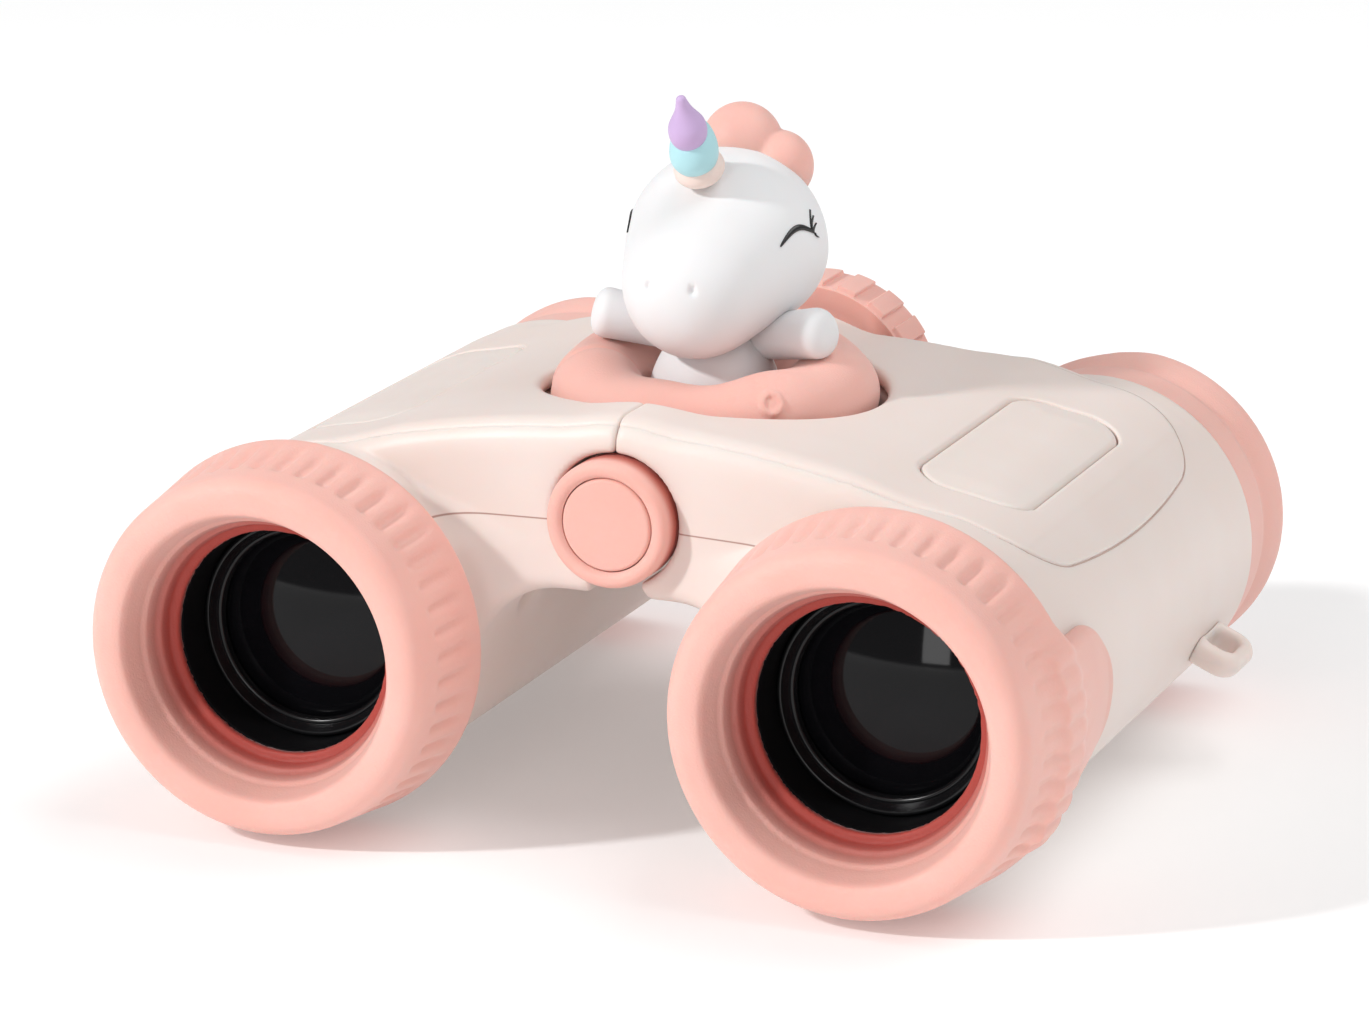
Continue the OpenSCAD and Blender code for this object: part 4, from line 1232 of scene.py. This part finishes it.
@dataclass
class Optics:
    """What shows in a mouth and in an eyecup: tube, retainer and lenses, turned about the optical axis.

    Attributes:
        lens_r: radius of the objective lens.
        lens_y: y of its apex and of its back.
        curve: radius of its front.
        eye_r: radius of the eye lens.
        eye_y: y of its apex and of its front.
        eye_curve: radius of the eye lens's rear.
    """

    lens_r: float = 12.8
    lens_y: Pair = (12.9, 18.8)
    curve: float = 30.0
    eye_r: float = 10.95
    eye_y: Pair = (91.4, 88.0)
    eye_curve: float = 27.0

    @staticmethod
    def lens(radius: float, ends: Pair, curve: float) -> Profile:
        """A lens with one domed and one flat face.

        Args:
            radius: its radius.
            ends: y of the dome's apex and of the flat face.
            curve: radius of the dome.

        Returns:
            Radius and y of its points, from the apex outwards and back to the axis.
        """
        apex, flat = ends
        spans = [radius * i / 20 for i in range(21)]
        sags = [math.copysign(curve - math.sqrt(curve**2 - r * r), flat - apex) for r in spans]
        return [*((r, apex + sag) for r, sag in zip(spans, sags, strict=True)), (radius, flat), (0.0, flat)]

    def build(self) -> None:
        """Makes the optics of both halves."""
        retainer = [(10.9, 14.45), *bend((11.35, 13.9), 0.4, 200, 300, 5),
                    *bend((12.35, 13.0), 0.42, 240, 360, 5), (12.8, 15.0), (11.9, 14.75)]
        tube = [*bend((13.3, 8.15), 0.4, 180, 270, 5), (14.4, 7.75), (14.4, 36.0), (12.9, 36.0)]
        front = self.lens(self.lens_r, self.lens_y, self.curve)
        back = self.lens(self.eye_r, self.eye_y, self.eye_curve)
        turned = (("lens_form", front, Finish.GLASS, "objective_lens"),
                  ("eye_lens_form", back, Finish.GLASS, "eye_lens"),
                  ("retainer_form", retainer, Finish.BEZEL, "lens_retainer"),
                  ("tube_form", tube, Finish.BLACK, "objective_tube"))
        for side in Side:
            for name, profile, finish, node in turned:
                made = Bench.lathe(side.node(name), profile, (side.value * AXIS_X, 0.0))
                Bench.hand_over(made, side.node("half"), finish, side.node(node))


@dataclass
class Eyecup:
    """A soft eyecup with a flush band, a crease and a shield on the temple side.

    Attributes:
        start: y where it meets the barrel.
        end: y of the shield's top.
        low_end: y of the rear edge on the nose side.
        shield_r: radius of the shield.
        shield_turn: angle of the shield's middle, in radians.
        shield_half: angles from there at which it starts to rise and is at its full height, in radians.
    """

    start: float = 85.07
    end: float = 98.9
    low_end: float = 97.0
    shield_r: float = 19.25
    shield_turn: float = 0.20
    shield_half: Pair = (1.65, 1.05)

    def profile(self) -> Profile:
        """The cup's section at the shield: radius and y of its corners."""
        return [(14.2, self.start), (18.9, self.start), (19.1, self.start + 0.3), (18.8, 91.0), (18.4, 92.3),
                (18.4, 92.7), (18.9, 94.6), (self.shield_r, 96.8), (self.shield_r, 98.0), (18.8, self.end),
                (18.1, self.end), (17.4, 98.2), (14.5, 95.0), (14.5, 92.6), (10.4, 92.55), (10.4, 91.6),
                (14.2, 91.55)]

    def shape(self, p: Points) -> Array:
        """The cup as a field.

        Args:
            p: the points.

        Returns:
            The field's values.
        """
        x, y, z = p[:, 0] - AXIS_X, p[:, 1], p[:, 2]
        wing = ramp(np.abs(np.arctan2(z, x) - self.shield_turn), *self.shield_half)
        spare, grade, rounding = 0.8, 0.9, 1.2
        top = self.low_end + (self.end + spare - self.low_end) * wing
        return smooth_max(outline(np.hypot(x, z), y, self.profile()), (y - top) * grade, rounding)

    def build(self) -> None:
        """Makes both eyecups."""
        cast = Mould((14.5, 84.2, -20.5), (55.5, 100.0, 20.5), 0.4).cast(self.shape)
        Bench.pair("eyecup_form", cast, Finish.CORAL, "eyecup")


@dataclass
class StrapLoop:
    """A rounded eye for a strap, low on the rear of a barrel.

    Attributes:
        y: middle of the loop along the barrel.
        droop: angle below level, in degrees.
        root: radius at which it starts, inside the barrel.
        reach: radius of its outer end.
        half_w: half its width.
        half_t: half its thickness.
        eye: radius at which the hole starts and ends.
        eye_half: half the hole's width.
    """

    y: float = 71.5
    droop: float = 24.0
    root: float = 15.0
    reach: float = 25.0
    half_w: float = 5.0
    half_t: float = 1.7
    eye: Pair = (19.9, 23.1)
    eye_half: float = 2.7

    def shape(self, p: Points) -> Array:
        """The loop as a field.

        Args:
            p: the points.

        Returns:
            The field's values.
        """
        turn = math.radians(self.droop)
        x, y, z = p[:, 0] - AXIS_X, p[:, 1] - self.y, p[:, 2]
        out = x * math.cos(turn) - z * math.sin(turn)
        up = x * math.sin(turn) + z * math.cos(turn)
        corner, eye_corner, rim, eye_rim, play = 2.8, 1.2, 2.2, 1.2, 0.02
        start, end = self.eye
        edge = rounded_plan(out, y, (self.root, -self.half_w), (self.reach, self.half_w), corner)
        eye = rounded_plan(out, y, (start, -self.eye_half), (end, self.eye_half), eye_corner)
        plate = smooth_max(smooth_max(edge, np.abs(up) - self.half_t, rim), -eye, eye_rim)
        return smooth_max(plate, BARREL_R + play - np.hypot(x, z), 0.2)

    def build(self) -> None:
        """Makes both loops."""
        cast = Mould((49.0, 65.8, -14.5), (59.0, 77.2, -4.0), 0.25).cast(self.shape)
        Bench.pair("loop_form", cast, Finish.BODY, "strap_loop")


@dataclass
class Hinge:
    """The cap on the front of the hinge and the focus wheel behind it.

    Attributes:
        cap_r: radius of the cap.
        cap_y: ends of the cap.
        disc_r: radius of its disc.
        disc_back: y of the disc's back.
        wheel_r: radius over the wheel's ridges.
        core_r: radius between them.
        wheel_y: ends of the wheel.
        ridges: how many ridges it has.
    """

    cap_r: float = 7.3
    cap_y: Pair = (17.3, 21.7)
    disc_r: float = 5.3
    disc_back: float = 20.0
    wheel_r: float = 14.0
    core_r: float = 13.4
    wheel_y: Pair = (79.5, 87.6)
    ridges: int = 20

    def build(self) -> None:
        """Makes the cap, its disc and the wheel."""
        front, back = self.cap_y
        seat_r, seat_y = self.disc_r + 0.12, self.disc_back + 0.1
        ring = [(seat_r, seat_y), (seat_r, front + 0.55), (self.disc_r + 0.4, front + 0.22),
                (self.disc_r + 0.7, front + 0.05),
                *bend((self.cap_r - 0.95, front + 0.95), 0.95, 270, 360, 8),
                (self.cap_r, back), (2.2, back), (2.2, seat_y)]
        disc = [(0.0, front + 0.12), (3.0, front + 0.16), (self.disc_r - 0.6, front + 0.26),
                *bend((self.disc_r - 0.45, front + 0.72), 0.45, 270, 360, 6), (self.disc_r, self.disc_back),
                (0.0, self.disc_back)]
        # The cap ring's finish paints shade in deep red on its groove and side wall.
        for name, profile, finish, node in (("cap_ring_form", ring, Finish.CAP, "hinge_cap"),
                                            ("cap_disc_form", disc, Finish.CORAL, "hinge_cap_disc")):
            Bench.hand_over(Bench.lathe(name, profile, (0.0, HINGE_Z)), "centre", finish, node)
        self.wheel()

    @staticmethod
    def pick(made: bpy.types.Object, wanted: Callable[[bpy.types.MeshPolygon], bool]) -> None:
        """Selects some faces of an object and goes to edit mode.

        Args:
            made: the held object.
            wanted: whether a face is selected.
        """
        bpy.ops.object.mode_set(mode="EDIT")
        bpy.ops.mesh.select_mode(type="FACE")
        bpy.ops.mesh.select_all(action="DESELECT")
        bpy.ops.object.mode_set(mode="OBJECT")
        for face in made.data.polygons:
            face.select = wanted(face)
        bpy.ops.object.mode_set(mode="EDIT")

    def wheel(self) -> None:
        """Makes the focus wheel: ridges raised on its rim and a dish sunk in each end."""
        low, high = self.wheel_y
        middle = place(0.0, (low + high) / 2, HINGE_Z)
        bpy.ops.object.select_all(action="DESELECT")
        bpy.ops.mesh.primitive_cylinder_add(vertices=self.ridges * 8, radius=self.core_r * MM,
                                            depth=(high - low) * MM, location=(0, 0, 0),
                                            rotation=(math.pi / 2, 0, 0))
        made = bpy.context.object
        made.name = made.data.name = "wheel_form"
        bpy.ops.object.transform_apply(location=False, rotation=True, scale=False)
        made.data.transform(Matrix.Translation(middle))

        def ridge(face: bpy.types.MeshPolygon) -> bool:
            """Whether a face of the rim belongs to a ridge."""
            turn = math.atan2(face.center.z - middle.z, face.center.x)
            return abs(face.normal.y) < 0.5 and math.cos(self.ridges * turn) > -0.5

        self.pick(made, ridge)
        bpy.ops.mesh.inset(thickness=0.35 * MM, depth=0.0, use_individual=False)
        grow = self.wheel_r / self.core_r
        bpy.ops.mesh.extrude_region_move(TRANSFORM_OT_translate={"value": (0, 0, 0)})
        bpy.ops.transform.resize(value=(grow, 0.90, grow), center_override=middle)
        self.pick(made, lambda face: abs(face.normal.y) > 0.9 and face.area > 100 * MM * MM)
        bpy.ops.mesh.inset(thickness=2.6 * MM, depth=-1.0 * MM, use_individual=True)
        bpy.ops.mesh.inset(thickness=0.5 * MM, depth=0.0, use_individual=True)
        bpy.ops.object.mode_set(mode="OBJECT")
        Bench.round_edges(made, 0.3, 25.0)
        Bench.hand_over(made, "wheel", Finish.CORAL, "focus_wheel")


@dataclass
class SwimRing:
    """The soft swim ring round the figure.

    Attributes:
        centre: its middle.
        ring_r: radius of the tube's centre line.
        tube_r: radius of the tube.
        cut_z: its flat underside.
        lumps: how many soft swellings go round.
        lump_rise: how far they lift the tube and how far they widen it.
        sag: how far it sags at the front, and over what angle, in radians.
        creases: angle from the front in radians, depth and width in radians of each crease.
        valve_turn: angle of the valve's rim from the front, in radians.
        valve_z: height of the valve above the tube's middle.
        valve_r: radius of its rim.
        valve_rise: height of its rim, and distances from its line at which it starts and is full.
    """

    centre: Triple = (0.0, 49.2, 22.7)
    ring_r: float = 13.6
    tube_r: float = 5.5
    cut_z: float = 19.5
    lumps: int = 7
    lump_rise: Pair = (0.15, 0.1)
    sag: Pair = (1.5, 0.8)
    creases: tuple[Triple, ...] = ((-1.15, 0.45, 0.05), (2.6, 0.3, 0.06))
    valve_turn: float = 0.75
    valve_z: float = 3.3
    valve_r: float = 1.15
    valve_rise: Triple = (0.32, 0.5, 0.15)

    def shape(self, p: Points) -> Array:
        """The ring as a field.

        Args:
            p: the points.

        Returns:
            The field's values.
        """
        x, y, z = (p - np.array(self.centre)).T
        reach, turn = np.hypot(x, y), np.arctan2(x, -y)
        phase, lower, slimmer, squeeze, grade = 0.6, 0.1, 0.12, 1.15, 0.95
        swell = np.cos(self.lumps * turn + phase)
        lift, widen = self.lump_rise
        sag, spread = self.sag
        rise = z - lift * swell + sag * np.exp(-np.square(turn / spread)) + lower
        tube = np.hypot(reach - self.ring_r, rise) - self.tube_r + slimmer - widen * swell
        for at, depth, width in self.creases:
            tube = tube + depth * np.exp(-np.square((turn - at) / width))
        spot = np.hypot((turn - self.valve_turn) * reach, (rise - self.valve_z) * squeeze)
        height, start, full = self.valve_rise
        tube = tube - height * ramp(np.abs(spot - self.valve_r), start, full)
        return smooth_max(tube * grade, self.cut_z - p[:, 2], 0.3)

    def build(self) -> None:
        """Makes the ring."""
        cast = Mould((-20.5, 29.0, 18.8), (20.5, 69.5, 29.2), 0.35).cast(self.shape)
        Bench.single("swim_ring_form", cast, Finish.CORAL, "swim_ring")


@dataclass
class Figure:
    """The unicorn: torso, forelegs, head, closed eyes, mane and horn.

    Attributes:
        torso: middle of the torso.
        torso_r: its radii.
        torso_z: its flat underside.
        shoulder: inner end of the right foreleg.
        hoof: its outer end.
        leg_r: its radius at each end.
        hoof_cut: where the hoof is cut flat, past its middle, and the rounding there.
        head: middle of the head.
        head_r: radius of the head.
        jaw: how much shallower its lower half is.
        muzzle: middle of the muzzle.
        muzzle_r: radius of the muzzle.
        nostril: the right nostril.
        nostril_r: its radii.
        mane: middle and radii of the mane's lumps.
        horn: foot of the horn.
        lean: angle of the horn from upright, in degrees.
        eye: middle of the right eye's arch as an angle from straight ahead, in degrees, and its height.
        per_degree: width of one degree on the head, in mm.
    """

    torso: Triple = (0.0, 49.2, 20.5)
    torso_r: Triple = (7.9, 7.9, 10.5)
    torso_z: float = 19.5
    shoulder: Triple = (5.2, 51.2, 28.9)
    hoof: Triple = (12.9, 47.9, 30.8)
    leg_r: Pair = (2.6, 2.95)
    hoof_cut: Pair = (1.9, 1.6)
    head: Triple = (0.0, 52.6, 38.6)
    head_r: float = 11.7
    jaw: float = 0.22
    muzzle: Triple = (0.0, 43.6, 36.2)
    muzzle_r: float = 8.4
    nostril: Triple = (2.7, 35.5, 37.6)
    nostril_r: Triple = (0.38, 0.8, 0.66)
    mane: tuple[tuple[Triple, Triple], ...] = (
        ((-0.6, 58.6, 49.5), (4.8, 5.0, 5.0)), ((3.9, 58.9, 47.3), (4.0, 4.3, 4.2)),
        ((-3.4, 61.4, 47.6), (4.2, 4.4, 4.2)), ((0.4, 64.0, 45.6), (4.5, 4.4, 4.5)),
        ((0.0, 65.2, 40.5), (3.6, 3.7, 4.0)))
    horn: Triple = (0.0, 45.9, 46.6)
    lean: float = 30.0
    eye: Pair = (69.5, 41.1)
    per_degree: float = 0.21

    def belly(self, p: Points) -> Array:
        """The torso, flat below."""
        return smooth_max(egg(p, self.torso, self.torso_r), self.torso_z - p[:, 2], 0.3)

    def leg(self, p: Points) -> Array:
        """The right foreleg, lying over the swim ring, with a flattened hoof.

        Args:
            p: the points.

        Returns:
            The field's values.
        """
        hoof = np.array(self.hoof)
        way = (hoof - np.array(self.shoulder)) / np.linalg.norm(hoof - np.array(self.shoulder))
        cut, rounding = self.hoof_cut
        return smooth_max(taper(p, self.shoulder, self.hoof, *self.leg_r), (p - hoof) @ way - cut, rounding)

    def skull(self, p: Points) -> Array:
        """Head and muzzle with two nostrils.

        Args:
            p: the points.

        Returns:
            The field's values.
        """
        low = np.minimum(p[:, 2] - self.head[2], 0.0)
        raised = p + low[:, None] * np.array((0.0, 0.0, self.jaw))
        grade, blend, rim = 0.92, 4.0, 0.35
        round_head = ball(raised, self.head, self.head_r) * grade
        face = smooth_min(round_head, ball(p, self.muzzle, self.muzzle_r), blend)
        for side in Side:
            hole = egg(p * np.array((side.value, 1.0, 1.0)), self.nostril, self.nostril_r)
            face = smooth_max(face, -hole, rim)
        return face

    def crest(self, p: Points) -> Array:
        """The mane, soft lumps with creases between them, hollowed where it sits on the head.

        Args:
            p: the points.

        Returns:
            The field's values.
        """
        crease, sunk, rim = 0.45, 0.8, 0.3
        lumps = [egg(p, centre, radii) for centre, radii in self.mane]
        whole = reduce(lambda a, b: smooth_min(a, b, crease), lumps)
        return smooth_max(whole, -self.skull(p) - sunk, rim)

    def up(self, along: float, forward: float = 0.0) -> Triple:
        """A point on the horn.

        Args:
            along: distance up the horn.
            forward: distance in front of its middle line.

        Returns:
            The point.
        """
        x, y, z = self.horn
        sine, cosine = math.sin(math.radians(self.lean)), math.cos(math.radians(self.lean))
        return x, y - along * sine - forward * cosine, z + along * cosine - forward * sine

    def bead(self, p: Points, along: float, forward: float, radii: Triple) -> Array:
        """An ellipsoid set square to the horn.

        Args:
            p: the points.
            along: distance of its middle up the horn.
            forward: distance of its middle in front of the horn's middle line.
            radii: its radii across, forward and along the horn.

        Returns:
            The field's values.
        """
        x, y, z = (p - np.array(self.up(along, forward))).T
        sine, cosine = math.sin(math.radians(self.lean)), math.cos(math.radians(self.lean))
        turned = np.stack([x, -y * cosine - z * sine, -y * sine + z * cosine], axis=1)
        return egg(turned, (0.0, 0.0, 0.0), radii)

    def strokes(self) -> list[tuple[Array, Array]]:
        """The right eye's lines: an arch and its lashes.

        Returns:
            For each line its points as angle and height, and its half widths in mm.
        """
        turn, height = self.eye
        steps, inner, span, climb, bulge = 24, 16.0, 31.0, 0.5, 1.35
        t = np.linspace(0.0, 1.0, steps + 1)
        hump = np.sin(math.pi * t)
        arch = np.stack([turn - inner + span * t, height + climb * t + bulge * hump], axis=1)
        lines = [(arch, 0.08 + 0.30 * hump ** 0.7)]
        s = np.linspace(0.0, 1.0, 9)
        for share, lean, length in ((0.92, 6.0, 2.2), (0.95, 7.0, 1.5), (0.98, 6.0, 0.8), (1.0, 3.5, -0.6)):
            foot = arch[int(share * steps)]
            lash = np.stack([foot[0] + lean * s * s, foot[1] + length * s], axis=1)
            lines.append((lash, 0.22 * (1.0 - 0.7 * s)))
        return lines

    def on_head(self, turn: Array, height: Array, lift: float) -> Points:
        """Points on the head's surface.

        Args:
            turn: angles from straight ahead, in degrees.
            height: heights, in mm.
            lift: how far above the surface.

        Returns:
            The points.
        """
        around, start = np.radians(turn), 12.0
        points = np.stack([np.sin(around) * start, self.head[1] - np.cos(around) * start, height], axis=1)
        middle = np.array((self.head[0], self.head[1], 0.0))
        for _ in range(12):
            flat = (points - middle) * np.array((1.0, 1.0, 0.0))
            unit = flat / (np.linalg.norm(flat, axis=1)[:, None] + TINY)
            points = points - (self.skull(points) - lift)[:, None] * unit * 0.8
        return points

    def eyes(self) -> None:
        """Makes both closed eyes as thin raised lines."""
        points: list[Points] = []
        faces: list[list[int]] = []
        scale = np.array((self.per_degree, 1.0))
        for line, half in self.strokes():
            way = np.gradient(line, axis=0) * scale
            side = np.stack([-way[:, 1], way[:, 0]], axis=1) / (np.linalg.norm(way, axis=1)[:, None] + TINY)
            rails: list[Points] = []
            for share, lift in ((-1.0, -0.15), (-0.8, 0.10), (0.0, 0.16), (0.8, 0.10), (1.0, -0.15)):
                moved = line + side * (half * share)[:, None] / scale
                rails.append(self.on_head(moved[:, 0], moved[:, 1], lift))
            strip, quads = ribbon(rails)
            base = sum(map(len, points))
            points.append(strip)
            faces += [[base + n for n in quad] for quad in quads]
        right = np.concatenate(points)
        both = np.concatenate([right, right * np.array((-1.0, 1.0, 1.0))])
        mirrored = [[n + len(right) for n in face[::-1]] for face in faces]
        Bench.single("closed_eyes_form", (both, faces + mirrored), Finish.INK, "closed_eyes")

    def horns(self) -> None:
        """Makes the horn's three pieces, each lapping over the one below."""
        grid = Mould((-4.0, 34.5, 43.5), (4.0, 50.5, 60.2), 0.22)
        base = grid.cast(lambda p: self.bead(p, 3.5, -0.2, (2.95, 2.95, 2.0)))
        middle = grid.cast(lambda p: smooth_min(self.bead(p, 5.9, 0.2, (2.75, 2.75, 2.6)),
                                                ball(p, self.up(8.3, -0.9), 1.5), 3.0))
        tip = grid.cast(lambda p: smooth_min(ball(p, self.up(9.0, 0.35), 2.05),
                                             taper(p, self.up(10.4), self.up(13.65), 1.5, 0.6), 2.0))
        for node, cast, finish in (("horn_base", base, Finish.CREAM),
                                   ("horn_middle", middle, Finish.TURQUOISE),
                                   ("horn_tip", tip, Finish.LILAC)):
            Bench.single(f"{node}_form", cast, finish, node)

    def build(self) -> None:
        """Makes the figure."""
        head = Mould((-12.5, 34.0, 26.4), (12.5, 65.0, 51.0), 0.35).cast(self.skull)
        Bench.single("head_form", head, Finish.WHITE, "figure_head")
        mane = Mould((-10.0, 51.0, 35.5), (10.0, 70.0, 56.5), 0.33).cast(self.crest)
        Bench.single("mane_form", mane, Finish.CORAL, "figure_mane")
        limb = Mould((0.5, 44.4, 25.2), (16.6, 54.8, 35.2), 0.3).cast(self.leg)
        Bench.pair("leg_form", limb, Finish.WHITE, "foreleg", body="centre")
        belly = Mould((-8.5, 40.0, 19.0), (8.5, 58.5, 31.0), 0.35).cast(self.belly)
        Bench.single("torso_form", belly, Finish.WHITE, "figure_torso")
        self.horns()
        self.eyes()


@dataclass
class Studio:
    """Camera, floor and lights.

    Attributes:
        azimuth: the camera's angle to the right of straight ahead, in degrees.
        elevation: its angle above level, in degrees.
        distance: its distance from the target, in mm.
        target: the point at the middle of the picture, in the part's frame, in mm.
        lens: focal length.
        sensor: width of the sensor, in mm.
        surround: strength of the light from all round.
    """

    azimuth: float = 22.816
    elevation: float = 16.066
    distance: float = 537.465
    target: Triple = (16.843, -49.175, 45.289)
    lens: float = 133.92
    sensor: float = 36.0
    surround: float = 0.38

    @staticmethod
    def aim(at: Vector, to: Vector) -> Matrix:
        """A matrix that stands at one point and looks at another."""
        return Matrix.Translation(at) @ (to - at).to_track_quat("-Z", "Y").to_matrix().to_4x4()

    def camera(self) -> None:
        """Sets up the camera at the photo's angle."""
        turn, rise = math.radians(self.azimuth), math.radians(self.elevation)
        back = Vector((math.sin(turn) * math.cos(rise), -math.cos(turn) * math.cos(rise), math.sin(rise)))
        target = Vector(self.target) * MM
        data = bpy.data.cameras.new("camera")
        data.lens, data.sensor_width, data.sensor_fit = self.lens, self.sensor, "HORIZONTAL"
        data.clip_start, data.clip_end = 0.01, 50.0
        made = bpy.data.objects.new("camera", data)
        made.matrix_world = self.aim(target + back * self.distance * MM, target)
        bpy.context.collection.objects.link(made)
        bpy.context.scene.camera = made

    def lamp(self, name: str, at: Triple, to: Triple, power: float, size: Pair) -> None:
        """Adds a rectangular soft light.

        Args:
            name: its name.
            at: where it stands, in metres.
            to: what it lights, in metres.
            power: its power in watts.
            size: its width and height in metres.
        """
        data = bpy.data.lights.new(name, "AREA")
        data.shape, data.energy = "RECTANGLE", power
        data.size, data.size_y = size
        made = bpy.data.objects.new(name, data)
        made.matrix_world = self.aim(Vector(at), Vector(to))
        bpy.context.collection.objects.link(made)

    @staticmethod
    def floor_paint() -> bpy.types.Material:
        """Makes the floor's plain pale paint.

        Returns:
            The material.
        """
        paint = Shader("floor_paint")
        paint.wire("Base Color", paint.mix(paint.noise(60.0), (0.90, 0.90, 0.90), (0.88, 0.88, 0.88)))
        paint.fix(Roughness=0.9, Specular_IOR_Level=0.1, Emission_Color=(1, 1, 1, 1), Emission_Strength=0.16)
        return paint.material

    def build(self) -> None:
        """Sets up the camera, the floor, the lights and the surroundings."""
        self.camera()
        bpy.ops.object.select_all(action="DESELECT")
        bpy.ops.mesh.primitive_plane_add(size=8.0, location=(0, 0, 0))
        floor = bpy.context.object
        floor.name = "floor"
        floor.data.materials.append(self.floor_paint())
        low_middle, right_mouth = (0.0, 0.0, 0.03), (0.035, -0.036, 0.022)
        self.lamp("key", (-0.95, -1.05, 0.98), low_middle, 17.0, (0.12, 0.12))
        self.lamp("top", (0.75, 0.35, 1.45), low_middle, 14.0, (1.3, 1.3))
        self.lamp("strip", (0.06, -1.05, 0.28), right_mouth, 1.6, (0.22, 0.50))
        world = bpy.data.worlds.new("surround")
        world.use_nodes = True
        sky = world.node_tree.nodes["Background"]
        sky.inputs["Color"].default_value = (1.0, 1.0, 1.0, 1.0)
        sky.inputs["Strength"].default_value = self.surround
        bpy.context.scene.world = world
        bpy.context.scene.view_settings.view_transform = "Standard"


def dress_rest(nodes: Iterable[bpy.types.Object], slots: dict[str, Slot]) -> None:
    """Gives the CAD nodes that still show the plain finish of their slot.

    Args:
        nodes: the CAD nodes.
        slots: the record's slot of each node.
    """
    for node in nodes:
        if node.hide_render:
            continue
        finish = Finish.plain(slots[node.name]).material
        if not node.material_slots:
            node.data.materials.append(finish)
        for held in node.material_slots:
            held.material = finish
        LOG.info("%s: kept from the model, %s", node.name, finish.name)


def main() -> None:
    """Builds the looks of the whole object."""
    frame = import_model()
    for kind in (HalfBody, ObjectiveRing, Optics, Eyecup, StrapLoop, Hinge, SwimRing, Figure):
        kind().build()
    slots = {row["node"]: Slot(row["material_slot"]) for row in frame["record"]["subparts"]}
    dress_rest(frame["nodes"].values(), slots)
    Studio().build()


if __name__ == "__main__":
    logging.basicConfig(level=logging.INFO, format="%(message)s")
    main()
